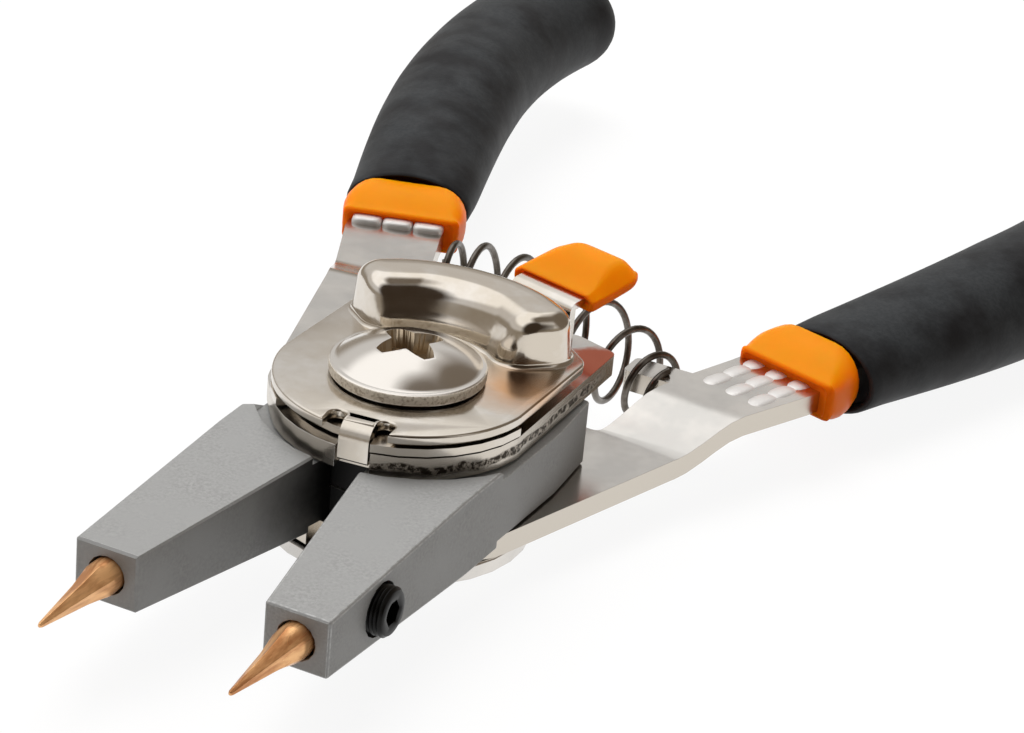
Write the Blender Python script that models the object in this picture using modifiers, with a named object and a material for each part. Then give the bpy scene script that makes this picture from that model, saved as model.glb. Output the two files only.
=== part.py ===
"""Convertible circlip pliers, with a shift lever, replaceable points and sprung handles.

The frame's origin is the flat underside of the pivot nut, on the pivot's axis. Z is up along that
axis, the points look along -Y and the handles along +Y. The lower handle, the left jaw and what
they carry are the same parts as the upper handle and the right jaw, turned over about the Y axis.
"""
import math

import bmesh
import bpy
from mathutils import Matrix, Vector

MM = 0.001

# General
CLEARANCE = 0.3 * MM
OVERRUN = 1.0 * MM
WELD = 0.01 * MM
ARC_STEP = 12.0
CIRCLE_START = 7.0
ROUND_STEPS = 30
PIN_STEPS = 16
SHARP_ANGLE = math.radians(35)

# Stack of plates at the pivot, from the nut up, with the handles' round rim
RIM_RADIUS = 16.1 * MM
NUT_THICKNESS = 2.5 * MM
BOTTOM_PLATE_THICKNESS = 2.0 * MM
HANDLE_THICKNESS = 2.8 * MM
JAW_BOSS_THICKNESS = 8.2 * MM
LEVER_THICKNESS = 1.0 * MM
COVER_THICKNESS = 1.3 * MM

NUT_TOP = NUT_THICKNESS
BOTTOM_PLATE_LOW = NUT_TOP + CLEARANCE
BOTTOM_PLATE_TOP = BOTTOM_PLATE_LOW + BOTTOM_PLATE_THICKNESS
LOWER_HANDLE_LOW = BOTTOM_PLATE_TOP + CLEARANCE
JAW_LOW = LOWER_HANDLE_LOW + HANDLE_THICKNESS + CLEARANCE
MIDDLE = JAW_LOW + JAW_BOSS_THICKNESS / 2
JAW_TOP = JAW_LOW + JAW_BOSS_THICKNESS
UPPER_HANDLE_LOW = JAW_TOP + CLEARANCE
UPPER_HANDLE_TOP = UPPER_HANDLE_LOW + HANDLE_THICKNESS
LEVER_LOW = UPPER_HANDLE_TOP + CLEARANCE
LEVER_TOP = LEVER_LOW + LEVER_THICKNESS
COVER_LOW = LEVER_TOP + CLEARANCE
COVER_TOP = COVER_LOW + COVER_THICKNESS

# Pivot screw, bush, bottom plate and nut
SHANK_RADIUS = 4.0 * MM
SHANK_END_DEPTH = 1.2 * MM
SCREW_HEAD_RADIUS = 9.5 * MM
SCREW_FLANGE_HEIGHT = 1.6 * MM
SCREW_FLANGE_EDGE = 0.35 * MM
SCREW_DOME_HEIGHT = 2.7 * MM
SCREW_DOME_STEPS = 5
RECESS_ARMS = 4
RECESS_TURN = 60.0
RECESS_TIP_RADIUS = 4.1 * MM
RECESS_WAIST_RADIUS = 2.3 * MM
RECESS_DEPTH = 2.9 * MM
RECESS_POINTS = 32
BUSH_WALL = 1.7 * MM
BUSH_BORE_RADIUS = SHANK_RADIUS + CLEARANCE
BUSH_RADIUS = BUSH_BORE_RADIUS + BUSH_WALL
PIVOT_BORE_RADIUS = BUSH_RADIUS + CLEARANCE
BOTTOM_PLATE_LIP = 0.5 * MM
BOTTOM_PLATE_RADIUS = RIM_RADIUS + BOTTOM_PLATE_LIP
NUT_RADIUS = 7.5 * MM
NUT_EDGE = 0.5 * MM

# Cover plate
COVER_LIP = 0.1 * MM
COVER_FRONT_RADIUS = RIM_RADIUS + COVER_LIP
COVER_SIDE_CUT = 0.1 * MM
COVER_HALF_WIDTH = COVER_FRONT_RADIUS - COVER_SIDE_CUT
COVER_CORNER_RADIUS = 3.0 * MM
COVER_CORNER_TURN = 9.0
HUMP_MARGIN = 1.0 * MM
HUMP_SCREW_GAP = 3.1 * MM
HUMP_HALF_WIDTH = 4.6 * MM
HUMP_RADIUS = SCREW_HEAD_RADIUS + HUMP_SCREW_GAP + HUMP_HALF_WIDTH
COVER_REAR_RADIUS = HUMP_RADIUS + HUMP_HALF_WIDTH + HUMP_MARGIN
HUMP_HEIGHT = 6.1 * MM
HUMP_ANGLE = 91.5
HUMP_SIDE_MARGIN = 1.27 * MM
HUMP_END_X = COVER_HALF_WIDTH - HUMP_HALF_WIDTH - HUMP_SIDE_MARGIN
HUMP_HALF_ANGLE = 180 - HUMP_ANGLE - math.degrees(math.acos(HUMP_END_X / HUMP_RADIUS))
HUMP_ROUND = 2.3 * MM
HUMP_ROUND_STEPS = 3
HOLLOW_ROUND_STEPS = 1
HUMP_WALL = 1.1 * MM
TAB_ANGLE = -84.2
TAB_WIDTH = 3.8 * MM
TAB_INSET = 0.2 * MM
TAB_OUTER_RADIUS = RIM_RADIUS - TAB_INSET
TAB_DEPTH = 4.7 * MM
TAB_STEP = 0.03 * MM
RELIEF_WIDTH = 2.2 * MM
RELIEF_DEPTH = 3.5 * MM

# Shift lever and its cap
LEVER_LIP = 0.2 * MM
LEVER_RIM_RADIUS = RIM_RADIUS + LEVER_LIP
LEVER_RIM_STEP = 2.1 * MM
LEVER_INNER_RIM_RADIUS = LEVER_RIM_RADIUS - LEVER_RIM_STEP
LEVER_RIGHT_RIM_END = -6.0
LEVER_LEFT_RIM_END = 170.0
LEVER_TURN = 40.0
LEVER_ANGLE = 74.5
NECK_WIDTH = 10.0 * MM
NECK_LENGTH = 10.5 * MM
NECK_HEIGHT = 4.5 * MM
NECK_BEND = 1.3 * MM
NECK_RADIUS = COVER_REAR_RADIUS + 2 * CLEARANCE
CAP_WIDTH = 14.2 * MM
CAP_LENGTH = 9.8 * MM
CAP_HEIGHT = 5.2 * MM
CAP_STAND_OFF = 1.2 * MM
CAP_START = NECK_RADIUS + LEVER_THICKNESS + CAP_STAND_OFF
CAP_CORNER = 2.8 * MM
CAP_ROUND = 2.0 * MM
CAP_ROUND_STEPS = 2
DETENT_ANGLE = 70.0
DETENT_WIRE_RADIUS = 0.3 * MM
DETENT_COIL_RADIUS = HUMP_HALF_WIDTH - HUMP_WALL - CLEARANCE - DETENT_WIRE_RADIUS
DETENT_POST_RADIUS = DETENT_COIL_RADIUS - DETENT_WIRE_RADIUS - CLEARANCE
DETENT_STEM_SHARE = 0.6
DETENT_STEM_RADIUS = DETENT_POST_RADIUS * DETENT_STEM_SHARE
DETENT_COIL_PITCH = 1.15 * MM
DETENT_TURNS = 4
COIL_POINTS = 10

# Handles
HANDLE_LEAN = 17.5
HANDLE_FRONT_END = 180 + 2 * HANDLE_LEAN
HANDLE_SIDE_OUT = 17.0 * MM
HANDLE_SIDE_FILLET = 6.0 * MM
HANDLE_WAIST_ALONG = 33.0 * MM
HANDLE_WAIST_OUT = 16.6 * MM
HANDLE_IN = 5.3 * MM
HANDLE_WAIST_FILLET = 20.0 * MM
HANDLE_INNER_CORNER = 30.0 * MM
TANG_SHOULDER = 58.5 * MM
HANDLE_NECK_LENGTH = 3.0 * MM
HANDLE_NECK_ALONG = TANG_SHOULDER - HANDLE_NECK_LENGTH
HANDLE_NECK_OUT = 19.0 * MM
HANDLE_NECK_IN = 5.7 * MM
EAR_INSET = 0.1 * MM
EAR_HALF_WIDTH = RIM_RADIUS - EAR_INSET
EAR_CORNER = (15.6 * MM, 26.5 * MM)
EAR_REAR = (9.7 * MM, 28.4 * MM)
EAR_FILLET = 1.2 * MM
BEND_LEAN = 5.5
BEND_START = 28.2 * MM
BEND_LENGTH = 11.0 * MM
BEND_STEPS = 5
GRIP_LEVEL = 2.7 * MM
PIN_CIRCLE_LIP = 0.9 * MM
PIN_CIRCLE_RADIUS = RIM_RADIUS + PIN_CIRCLE_LIP
PIN_ANGLE = 24.0
PIN_RADIUS = 2.0 * MM
PIN_BORE_RADIUS = PIN_RADIUS + CLEARANCE
PIN_EDGE = 0.3 * MM

# Spring lugs and the return spring
LUG_WIDTH = 4.6 * MM
LUG_TIP_X = 11.5 * MM
LUG_FILLET = 0.8 * MM
SPRING_AHEAD = 11.13 * MM
SPRING_Y = HANDLE_NECK_ALONG * math.cos(math.radians(HANDLE_LEAN)) - SPRING_AHEAD
WIRE_RADIUS = 0.475 * MM
SPRING_RADIUS = 5.65 * MM
SPRING_END_RADIUS = 3.95 * MM
SPRING_TURNS = 9
SPRING_SPREAD_SHARE = 0.5
SPRING_TAIL = 1.2 * MM

# Collars and grips
TANG_WIDTH = 10.5 * MM
TANG_END = 118.0 * MM
TANG_POINTS = 12
COLLAR_START = HANDLE_NECK_ALONG + CLEARANCE
COLLAR_LENGTH = 10.6 * MM
COLLAR_FRONT_OUT = 12.6 * MM
COLLAR_REAR_OUT = 11.9 * MM
COLLAR_FRONT_WIDTH = 16.2 * MM
COLLAR_REAR_WIDTH = 16.8 * MM
COLLAR_FRONT_HEIGHT = 6.0 * MM
COLLAR_REAR_HEIGHT = 9.8 * MM
COLLAR_CORNER = 3.2 * MM
COLLAR_ROUND = 2.4 * MM
COLLAR_ROUND_STEPS = 2
GRIP_START = COLLAR_START + COLLAR_LENGTH + CLEARANCE
GRIP_LENGTH = 96.0 * MM
GRIP_MOUTH = 6.5 * MM
GRIP_OUT = 12.4 * MM
GRIP_SPREAD = 4.1 * MM
GRIP_CURL = 15.6 * MM
GRIP_LIFT = 0.8 * MM
GRIP_RADIUS = 9.8 * MM
GRIP_MOUTH_SHARE = 0.9
GRIP_SWELL_SHARE = 0.45
GRIP_DOME = 8.0 * MM
GRIP_RINGS = 14
GRIP_DOME_RINGS = 4
GRIP_MOUTH_HEIGHT_SHARE = 0.68
GRIP_HEIGHT_SHARE = 0.86
GRIP_RESOLUTION = 5

# Jaws, points and set screws
JAW_FRONT_Y = 45.8 * MM
JAW_FRONT_X = 16.1 * MM
JAW_FRONT_THICKNESS = 7.1 * MM
JAW_STEP_THICKNESS = 10.4 * MM
JAW_STEP_Y = 15.0 * MM
JAW_SIDE_LIP = 0.6 * MM
JAW_SIDE_X = RIM_RADIUS + JAW_SIDE_LIP
JAW_HIP_LIP = 1.0 * MM
JAW_HIP = (RIM_RADIUS + JAW_HIP_LIP, 8.0 * MM)
JAW_HEEL_LIP = 0.2 * MM
JAW_HEEL_BACK = 1.9 * MM
JAW_HEEL = (RIM_RADIUS + JAW_HEEL_LIP, RIM_RADIUS + JAW_HEEL_BACK)
JAW_HEEL_INNER_BACK = 4.1 * MM
JAW_HEEL_INNER_Y = RIM_RADIUS + JAW_HEEL_INNER_BACK
JAW_OPEN_ANGLE = 9.75
JAW_HALF_GAP = 0.15 * MM
DISC_PIN_GAP = 1.8 * MM
JAW_DISC_RADIUS = PIN_CIRCLE_RADIUS - PIN_RADIUS - DISC_PIN_GAP
JAW_POCKET_RADIUS = JAW_DISC_RADIUS + CLEARANCE
RECESS_CENTRE_Y = 2.2 * MM
RECESS_ROOM = 0.9 * MM
RECESS_STEP_RADIUS = RIM_RADIUS + RECESS_CENTRE_Y + RECESS_ROOM
JAW_EDGE = 0.25 * MM
POINT_X = 12.0 * MM
POINT_BORE_RADIUS = 2.4 * MM
POINT_BORE_DEPTH = 17.0 * MM
POINT_RADIUS = POINT_BORE_RADIUS - CLEARANCE
POINT_REACH = 13.0 * MM
POINT_BASE_RADIUS = 2.35 * MM
POINT_BLUNT_RADIUS = 0.55 * MM
POINT_SET_IN = 0.2 * MM
POINT_FACETS = 8
SET_SCREW_Y = 34.7 * MM
SET_SCREW_RADIUS = 3.0 * MM
SET_SCREW_EDGE = 0.4 * MM
SET_SCREW_PROUD = 1.6 * MM
SET_SCREW_SOCKET_RADIUS = 1.75 * MM
SET_SCREW_SOCKET_DEPTH = 1.8 * MM
SOCKET_SIDES = 6


# Scene and collections
for old in list(bpy.data.objects):
    bpy.data.objects.remove(old, do_unlink=True)

PARTS = bpy.data.collections.new("circlip_pliers")
CUTTERS = bpy.data.collections.new("cutters")
bpy.context.scene.collection.children.link(PARTS)
bpy.context.scene.collection.children.link(CUTTERS)


# Materials
def material(name, color, roughness, metallic):
    """A Principled material with the piece's own colour and finish."""
    made = bpy.data.materials.new(name)
    made.use_nodes = True
    shader = made.node_tree.nodes["Principled BSDF"]
    shader.inputs["Base Color"].default_value = (*color, 1)
    shader.inputs["Roughness"].default_value = roughness
    shader.inputs["Metallic"].default_value = metallic
    return made


def nickel(name):
    return material(name, (0.66, 0.62, 0.56), 0.22, 1)


def sintered(name):
    return material(name, (0.36, 0.36, 0.35), 0.55, 0.8)


def copper(name):
    return material(name, (0.62, 0.33, 0.16), 0.35, 1)


def orange(name):
    return material(name, (0.80, 0.24, 0.01), 0.45, 0)


def foam(name):
    return material(name, (0.035, 0.035, 0.037), 0.75, 0)


def black_oxide(name):
    return material(name, (0.02, 0.02, 0.02), 0.4, 0.7)


def spring_steel(name):
    return material(name, (0.30, 0.27, 0.24), 0.3, 1)


# Outlines
def polar(radius, degrees):
    angle = math.radians(degrees)
    return Vector((radius * math.cos(angle), radius * math.sin(angle)))


def arc(radius, start, end, centre=Vector((0, 0))):
    """Points on an arc, both ends included."""
    count = max(2, math.ceil(abs(end - start) / ARC_STEP))
    return [centre + polar(radius, start + (end - start) * i / count) for i in range(count + 1)]


def circle(radius, centre=Vector((0, 0))):
    return arc(radius, CIRCLE_START, CIRCLE_START + 360, centre)[:-1]


def rounded(corners):
    """A closed outline from (point, radius) corners, each radius turned into an arc."""
    outline = []
    for index, (here, radius) in enumerate(corners):
        if radius == 0:
            outline.append(here)
            continue
        before = (corners[index - 1][0] - here).normalized()
        after = (corners[(index + 1) % len(corners)][0] - here).normalized()
        half = before.angle(after) / 2
        centre = here + (before + after).normalized() * radius / math.sin(half)
        spoke = here + before * radius / math.tan(half) - centre
        turn = math.pi - 2 * half
        if before.cross(after) > 0:
            turn = -turn
        count = max(1, math.ceil(abs(math.degrees(turn)) / ARC_STEP))
        for step in range(count + 1):
            outline.append(centre + Matrix.Rotation(turn * step / count, 2) @ spoke)
    return outline


# Solids
def add(name, data, collection=PARTS):
    obj = bpy.data.objects.new(name, data)
    collection.objects.link(obj)
    return obj


def evaluated_mesh(obj):
    """The object's mesh with its modifiers or its curve's faces, welded into one skin."""
    bpy.context.view_layer.update()
    graph = bpy.context.evaluated_depsgraph_get()
    mesh = bpy.data.meshes.new_from_object(obj.evaluated_get(graph))
    shape = bmesh.new()
    shape.from_mesh(mesh)
    bmesh.ops.remove_doubles(shape, verts=shape.verts, dist=WELD)
    shape.to_mesh(mesh)
    shape.free()
    return mesh


def curve_to_mesh(obj):
    """Replace a curve object by the mesh that it makes."""
    name = obj.name
    mesh = evaluated_mesh(obj)
    matrix = obj.matrix_world.copy()
    bpy.data.objects.remove(obj, do_unlink=True)
    made = add(name, mesh)
    made.matrix_world = matrix
    return made


def extruded(name, outlines, thickness, matrix):
    """An outline and its holes, extruded both ways from its plane."""
    curve = bpy.data.curves.new(name, "CURVE")
    curve.dimensions = "2D"
    curve.fill_mode = "BOTH"
    curve.extrude = thickness / 2
    for outline in outlines:
        spline = curve.splines.new("POLY")
        spline.points.add(len(outline) - 1)
        for point, (x, y) in zip(spline.points, outline):
            point.co = (x, y, 0, 1)
        spline.use_cyclic_u = True
    obj = add(name, curve)
    obj.matrix_world = matrix
    return curve_to_mesh(obj)


def plate(name, outlines, low, high):
    """A flat piece between two heights: its outline, then its holes."""
    middle = Matrix.Translation((0, 0, (low + high) / 2))
    return extruded(name, outlines, high - low, middle)


def strip(name, profile, width, degrees):
    """A profile of (radius, height) points that stands along a radius and is extruded across it."""
    angle = math.radians(degrees)
    across = Matrix((
        (math.cos(angle), 0, math.sin(angle), 0),
        (math.sin(angle), 0, -math.cos(angle), 0),
        (0, 1, 0, 0),
        (0, 0, 0, 1),
    ))
    return extruded(name, [profile], width, across)


def turned(name, profile, steps):
    """A solid of revolution from a profile that runs from its top to its bottom."""
    mesh = bpy.data.meshes.new(name)
    points = [(radius, 0, height) for radius, height in profile]
    mesh.from_pydata(points, [(i, i + 1) for i in range(len(points) - 1)], [])
    obj = add(name, mesh)
    screw = obj.modifiers.new("turn", "SCREW")
    screw.steps = steps
    screw.render_steps = steps
    screw.use_merge_vertices = True
    screw.merge_threshold = WELD
    return obj


def tube(name, points, radii, resolution):
    """A capped tube along points, as thick at each as its radius there."""
    curve = bpy.data.curves.new(name, "CURVE")
    curve.dimensions = "3D"
    curve.bevel_depth = max(radii)
    curve.bevel_resolution = resolution
    curve.use_fill_caps = True
    spline = curve.splines.new("POLY")
    spline.points.add(len(points) - 1)
    for point, place, radius in zip(spline.points, points, radii):
        point.co = (*place, 1)
        point.radius = radius / max(radii)
    return curve_to_mesh(add(name, curve))


def soften(obj, radius, steps, both_sides=True):
    """Round the rim of a plate's upper face, and of its lower face too where asked."""
    shape = bmesh.new()
    shape.from_mesh(obj.data)
    bmesh.ops.dissolve_limit(shape, angle_limit=math.radians(1), verts=shape.verts, edges=shape.edges)
    heights = [v.co.z for v in shape.verts]
    levels = [max(heights), min(heights)] if both_sides else [max(heights)]
    rims = [e for e in shape.edges for level in levels
            if all(abs(v.co.z - level) < WELD for v in e.verts)]
    bmesh.ops.bevel(shape, geom=rims, offset=radius, segments=steps, profile=0.5,
                    affect="EDGES", clamp_overlap=False)
    shape.to_mesh(obj.data)
    shape.free()


def boolean(obj, other, operation):
    """Cut or join another solid, which moves to the cutters."""
    modifier = obj.modifiers.new(other.name, "BOOLEAN")
    modifier.operation = operation
    modifier.solver = "EXACT"
    modifier.object = other
    for collection in list(other.users_collection):
        collection.objects.unlink(other)
    CUTTERS.objects.link(other)
    other.hide_render = True
    other.display_type = "WIRE"


def cut(obj, cutter):
    boolean(obj, cutter, "DIFFERENCE")


def join(obj, addition):
    boolean(obj, addition, "UNION")


def bore(obj, radius, centre, low, high):
    cut(obj, plate(f"{obj.name}_bore", [circle(radius, centre)], low - OVERRUN, high + OVERRUN))


def round_off(obj, width):
    """A small bevel on the sharp edges."""
    bevel = obj.modifiers.new("edges", "BEVEL")
    bevel.width = width
    bevel.segments = 1
    bevel.limit_method = "ANGLE"
    bevel.angle_limit = SHARP_ANGLE
    bevel.use_clamp_overlap = True


def finish(obj, look):
    obj.data.materials.clear()
    obj.data.materials.append(look)
    obj.data.shade_smooth()
    obj.data.set_sharp_from_angle(angle=SHARP_ANGLE)


def turned_over(obj, name, look):
    """The same piece, turned over about the Y axis at the middle of the stack."""
    flip = Matrix.Translation((0, 0, 2 * MIDDLE)) @ Matrix.Rotation(math.pi, 4, "Y")
    mesh = evaluated_mesh(obj)
    copy = add(name, mesh)
    copy.matrix_world = flip @ obj.matrix_world
    finish(copy, look)
    return copy


def hang_on_axis(name, pieces):
    """An empty on the pivot's axis that carries a body's pieces."""
    axis = add(name, None)
    axis.location = (0, 0, MIDDLE)
    bpy.context.view_layer.update()
    for piece in pieces:
        matrix = piece.matrix_world.copy()
        piece.parent = axis
        piece.matrix_parent_inverse = axis.matrix_world.inverted()
        piece.matrix_world = matrix
    return axis


# Pivot pieces
def make_pivot_screw():
    """Flanged head with a low dome, a four-armed recess, and the shank."""
    seat = COVER_TOP + CLEARANCE
    flange_top = seat + SCREW_FLANGE_HEIGHT
    shank_end = NUT_TOP - SHANK_END_DEPTH + CLEARANCE
    rim = SCREW_HEAD_RADIUS - SCREW_FLANGE_EDGE
    dome_radius = (rim ** 2 + SCREW_DOME_HEIGHT ** 2) / (2 * SCREW_DOME_HEIGHT)
    dome_angle = math.asin(rim / dome_radius)
    profile = []
    for step in range(SCREW_DOME_STEPS + 1):
        angle = dome_angle * step / SCREW_DOME_STEPS
        drop = dome_radius * (1 - math.cos(angle))
        profile.append((dome_radius * math.sin(angle), flange_top + SCREW_DOME_HEIGHT - drop))
    profile += [
        (SCREW_HEAD_RADIUS, flange_top - SCREW_FLANGE_EDGE),
        (SCREW_HEAD_RADIUS, seat + SCREW_FLANGE_EDGE),
        (rim, seat),
        (SHANK_RADIUS, seat),
        (SHANK_RADIUS, shank_end),
        (0, shank_end),
    ]
    screw = turned("pivot_screw", profile, ROUND_STEPS)
    middle_radius = (RECESS_TIP_RADIUS + RECESS_WAIST_RADIUS) / 2
    swing = (RECESS_TIP_RADIUS - RECESS_WAIST_RADIUS) / 2
    star = []
    for index in range(RECESS_POINTS):
        degrees = 360 * index / RECESS_POINTS
        wave = math.cos(RECESS_ARMS * math.radians(degrees - RECESS_TURN))
        star.append(polar(middle_radius + swing * wave, degrees))
    top = flange_top + SCREW_DOME_HEIGHT
    cut(screw, plate("screw_recess", [star], top - RECESS_DEPTH, top + OVERRUN))
    finish(screw, nickel("screw_nickel"))
    return screw


def make_pivot_bush():
    low = BOTTOM_PLATE_TOP + CLEARANCE
    high = COVER_LOW - CLEARANCE
    bush = plate("pivot_bush", [circle(BUSH_RADIUS), circle(BUSH_BORE_RADIUS)], low, high)
    finish(bush, nickel("bush_steel"))
    return bush


def make_bottom_plate():
    outlines = [circle(BOTTOM_PLATE_RADIUS), circle(BUSH_BORE_RADIUS)]
    made = plate("bottom_plate", outlines, BOTTOM_PLATE_LOW, BOTTOM_PLATE_TOP)
    finish(made, nickel("bottom_nickel"))
    return made


def make_pivot_nut():
    """A blind nut, so that the face underneath is whole."""
    floor = NUT_TOP - SHANK_END_DEPTH
    profile = [
        (0, floor),
        (BUSH_BORE_RADIUS, floor),
        (BUSH_BORE_RADIUS, NUT_TOP),
        (NUT_RADIUS - NUT_EDGE, NUT_TOP),
        (NUT_RADIUS, NUT_TOP - NUT_EDGE),
        (NUT_RADIUS, NUT_EDGE),
        (NUT_RADIUS - NUT_EDGE, 0),
        (0, 0),
    ]
    nut = turned("pivot_nut", profile, ROUND_STEPS)
    finish(nut, nickel("nut_nickel"))
    return nut


# Cover plate
def kidney(half_width):
    """A slot that follows a circle round the pivot, with round ends."""
    start = HUMP_ANGLE - HUMP_HALF_ANGLE
    end = HUMP_ANGLE + HUMP_HALF_ANGLE
    outline = arc(HUMP_RADIUS + half_width, start, end)
    outline += arc(half_width, end, end + 180, polar(HUMP_RADIUS, end))[1:-1]
    outline += arc(HUMP_RADIUS - half_width, end, start)
    outline += arc(half_width, start + 180, start + 360, polar(HUMP_RADIUS, start))[1:-1]
    return outline


def beside_tab(radius, across):
    """A place measured from the pivot along the tab's middle line, and across it."""
    return Matrix.Rotation(math.radians(TAB_ANGLE), 2) @ Vector((radius, across))


def turn_beside_tab(radius, across):
    """The direction from the pivot, in degrees, of a place on a circle beside the tab."""
    return TAB_ANGLE + math.degrees(math.asin(across / radius))


def make_cover_plate():
    """Pressed cover: round front with a bent tab between two reliefs, hollow hump behind."""
    side_angle = math.degrees(math.acos(COVER_HALF_WIDTH / COVER_FRONT_RADIUS))
    notch_edge = TAB_WIDTH / 2 + RELIEF_WIDTH
    notch_round = RELIEF_WIDTH / 2
    notch_middle = TAB_WIDTH / 2 + notch_round
    notch_floor = COVER_FRONT_RADIUS - RELIEF_DEPTH + notch_round
    tab_root = TAB_OUTER_RADIUS - COVER_THICKNESS
    right_notch = []
    left_notch = []
    for place in arc(notch_round, 0, 180):
        right_notch.append(beside_tab(notch_floor - place.y, notch_middle + place.x))
        left_notch.append(beside_tab(notch_floor - place.y, place.x - notch_middle))
    notch_turn = turn_beside_tab(COVER_FRONT_RADIUS, notch_edge)
    other_turn = turn_beside_tab(COVER_FRONT_RADIUS, -notch_edge)
    front = arc(COVER_FRONT_RADIUS, side_angle - 180, other_turn)
    front += left_notch[::-1]
    flat_end = tab_root - COVER_THICKNESS / 2
    flat_half = TAB_WIDTH / 2 - TAB_STEP
    front += [beside_tab(flat_end, -flat_half), beside_tab(flat_end, flat_half)]
    front += right_notch[::-1]
    front += arc(COVER_FRONT_RADIUS, notch_turn, -side_angle)
    corner_y = math.sqrt(COVER_REAR_RADIUS ** 2 - COVER_HALF_WIDTH ** 2)
    corner_turn = math.degrees(math.atan2(corner_y, COVER_HALF_WIDTH)) + COVER_CORNER_TURN
    rear = arc(COVER_REAR_RADIUS, corner_turn, 180 - corner_turn)
    corners = [(point, 0) for point in front]
    corners.append((Vector((COVER_HALF_WIDTH, corner_y)), COVER_CORNER_RADIUS))
    corners += [(point, 0) for point in rear]
    corners.append((Vector((-COVER_HALF_WIDTH, corner_y)), COVER_CORNER_RADIUS))
    cover = plate("cover_plate", [rounded(corners)], COVER_LOW, COVER_TOP)

    hump = plate("cover_hump", [kidney(HUMP_HALF_WIDTH)], COVER_LOW + COVER_THICKNESS / 2,
                 COVER_TOP + HUMP_HEIGHT)
    soften(hump, HUMP_ROUND, HUMP_ROUND_STEPS, both_sides=False)
    join(cover, hump)
    hollow = plate("hump_hollow", [kidney(HUMP_HALF_WIDTH - HUMP_WALL)], COVER_LOW - OVERRUN,
                   COVER_TOP + HUMP_HEIGHT - HUMP_WALL)
    soften(hollow, HUMP_ROUND - HUMP_WALL, HOLLOW_ROUND_STEPS, both_sides=False)
    cut(cover, hollow)
    bore(cover, BUSH_BORE_RADIUS, Vector((0, 0)), COVER_LOW, COVER_TOP)

    tab_inner = Vector((tab_root, COVER_TOP - TAB_DEPTH))
    tab = [
        (Vector((tab_root - COVER_THICKNESS, COVER_TOP + TAB_STEP)), 0),
        (Vector((TAB_OUTER_RADIUS, COVER_TOP + TAB_STEP)), COVER_THICKNESS),
        (Vector((TAB_OUTER_RADIUS, tab_inner.y)), 0),
        (tab_inner, 0),
        (Vector((tab_root, COVER_LOW - TAB_STEP)), 0),
        (Vector((tab_root - COVER_THICKNESS, COVER_LOW - TAB_STEP)), 0),
    ]
    join(cover, strip("cover_tab", rounded(tab), TAB_WIDTH, TAB_ANGLE))
    finish(cover, nickel("cover_nickel"))
    return cover


# Shift lever
def make_shift_lever():
    """A ring under the cover, notched for the tab, with a neck that rises behind the cover."""
    tab_half = TAB_WIDTH / 2 + CLEARANCE
    right_turn = turn_beside_tab(LEVER_RIM_RADIUS, tab_half)
    left_turn = turn_beside_tab(LEVER_RIM_RADIUS, -tab_half) - LEVER_TURN
    outline = arc(LEVER_RIM_RADIUS, LEVER_LEFT_RIM_END, left_turn + 360)
    outline += arc(LEVER_INNER_RIM_RADIUS, left_turn + 360, right_turn + 360)
    outline += arc(LEVER_RIM_RADIUS, right_turn + 360, LEVER_RIGHT_RIM_END + 360)
    outline += arc(LEVER_INNER_RIM_RADIUS, LEVER_RIGHT_RIM_END + 360, LEVER_LEFT_RIM_END + 360)
    lever = plate("shift_lever", [outline], LEVER_LOW, LEVER_TOP)

    tongue_top = COVER_TOP + NECK_HEIGHT
    tongue_low = tongue_top - LEVER_THICKNESS
    inner = NECK_RADIUS
    outer = NECK_RADIUS + LEVER_THICKNESS
    end = NECK_RADIUS + NECK_LENGTH
    root = LEVER_INNER_RIM_RADIUS - OVERRUN
    profile = [
        (Vector((root, LEVER_TOP)), 0),
        (Vector((inner, LEVER_TOP)), 0),
        (Vector((inner, tongue_top)), NECK_BEND),
        (Vector((end, tongue_top)), 0),
        (Vector((end, tongue_low)), 0),
        (Vector((outer, tongue_low)), 0),
        (Vector((outer, LEVER_LOW)), NECK_BEND),
        (Vector((root, LEVER_LOW)), 0),
    ]
    join(lever, strip("lever_neck", rounded(profile), NECK_WIDTH, LEVER_ANGLE))
    bore(lever, PIVOT_BORE_RADIUS, Vector((0, 0)), LEVER_LOW, LEVER_TOP)
    stem = polar(HUMP_RADIUS, DETENT_ANGLE)
    bore(lever, DETENT_STEM_RADIUS + CLEARANCE, stem, LEVER_LOW, LEVER_TOP)
    finish(lever, nickel("lever_nickel"))
    return lever


def make_lever_cap():
    """A soft block with rounded edges, slotted for the lever's tongue."""
    half = CAP_WIDTH / 2
    end = CAP_START + CAP_LENGTH
    corners = [
        (Vector((CAP_START, -half)), CAP_CORNER),
        (Vector((end, -half)), CAP_CORNER),
        (Vector((end, half)), CAP_CORNER),
        (Vector((CAP_START, half)), CAP_CORNER),
    ]
    turn = Matrix.Rotation(math.radians(LEVER_ANGLE), 2)
    outline = [turn @ point for point in rounded(corners)]
    middle = COVER_TOP + NECK_HEIGHT - LEVER_THICKNESS / 2
    cap = plate("lever_cap", [outline], middle - CAP_HEIGHT / 2, middle + CAP_HEIGHT / 2)
    soften(cap, CAP_ROUND, CAP_ROUND_STEPS)
    slot_end = NECK_RADIUS + NECK_LENGTH + CLEARANCE
    slot_top = COVER_TOP + NECK_HEIGHT + CLEARANCE
    slot_low = slot_top - LEVER_THICKNESS - 2 * CLEARANCE
    slot = [
        Vector((CAP_START - OVERRUN, slot_top)),
        Vector((slot_end, slot_top)),
        Vector((slot_end, slot_low)),
        Vector((CAP_START - OVERRUN, slot_low)),
    ]
    cut(cap, strip("cap_slot", slot, NECK_WIDTH + 2 * CLEARANCE, LEVER_ANGLE))
    finish(cap, orange("cap_orange"))
    return cap


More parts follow.
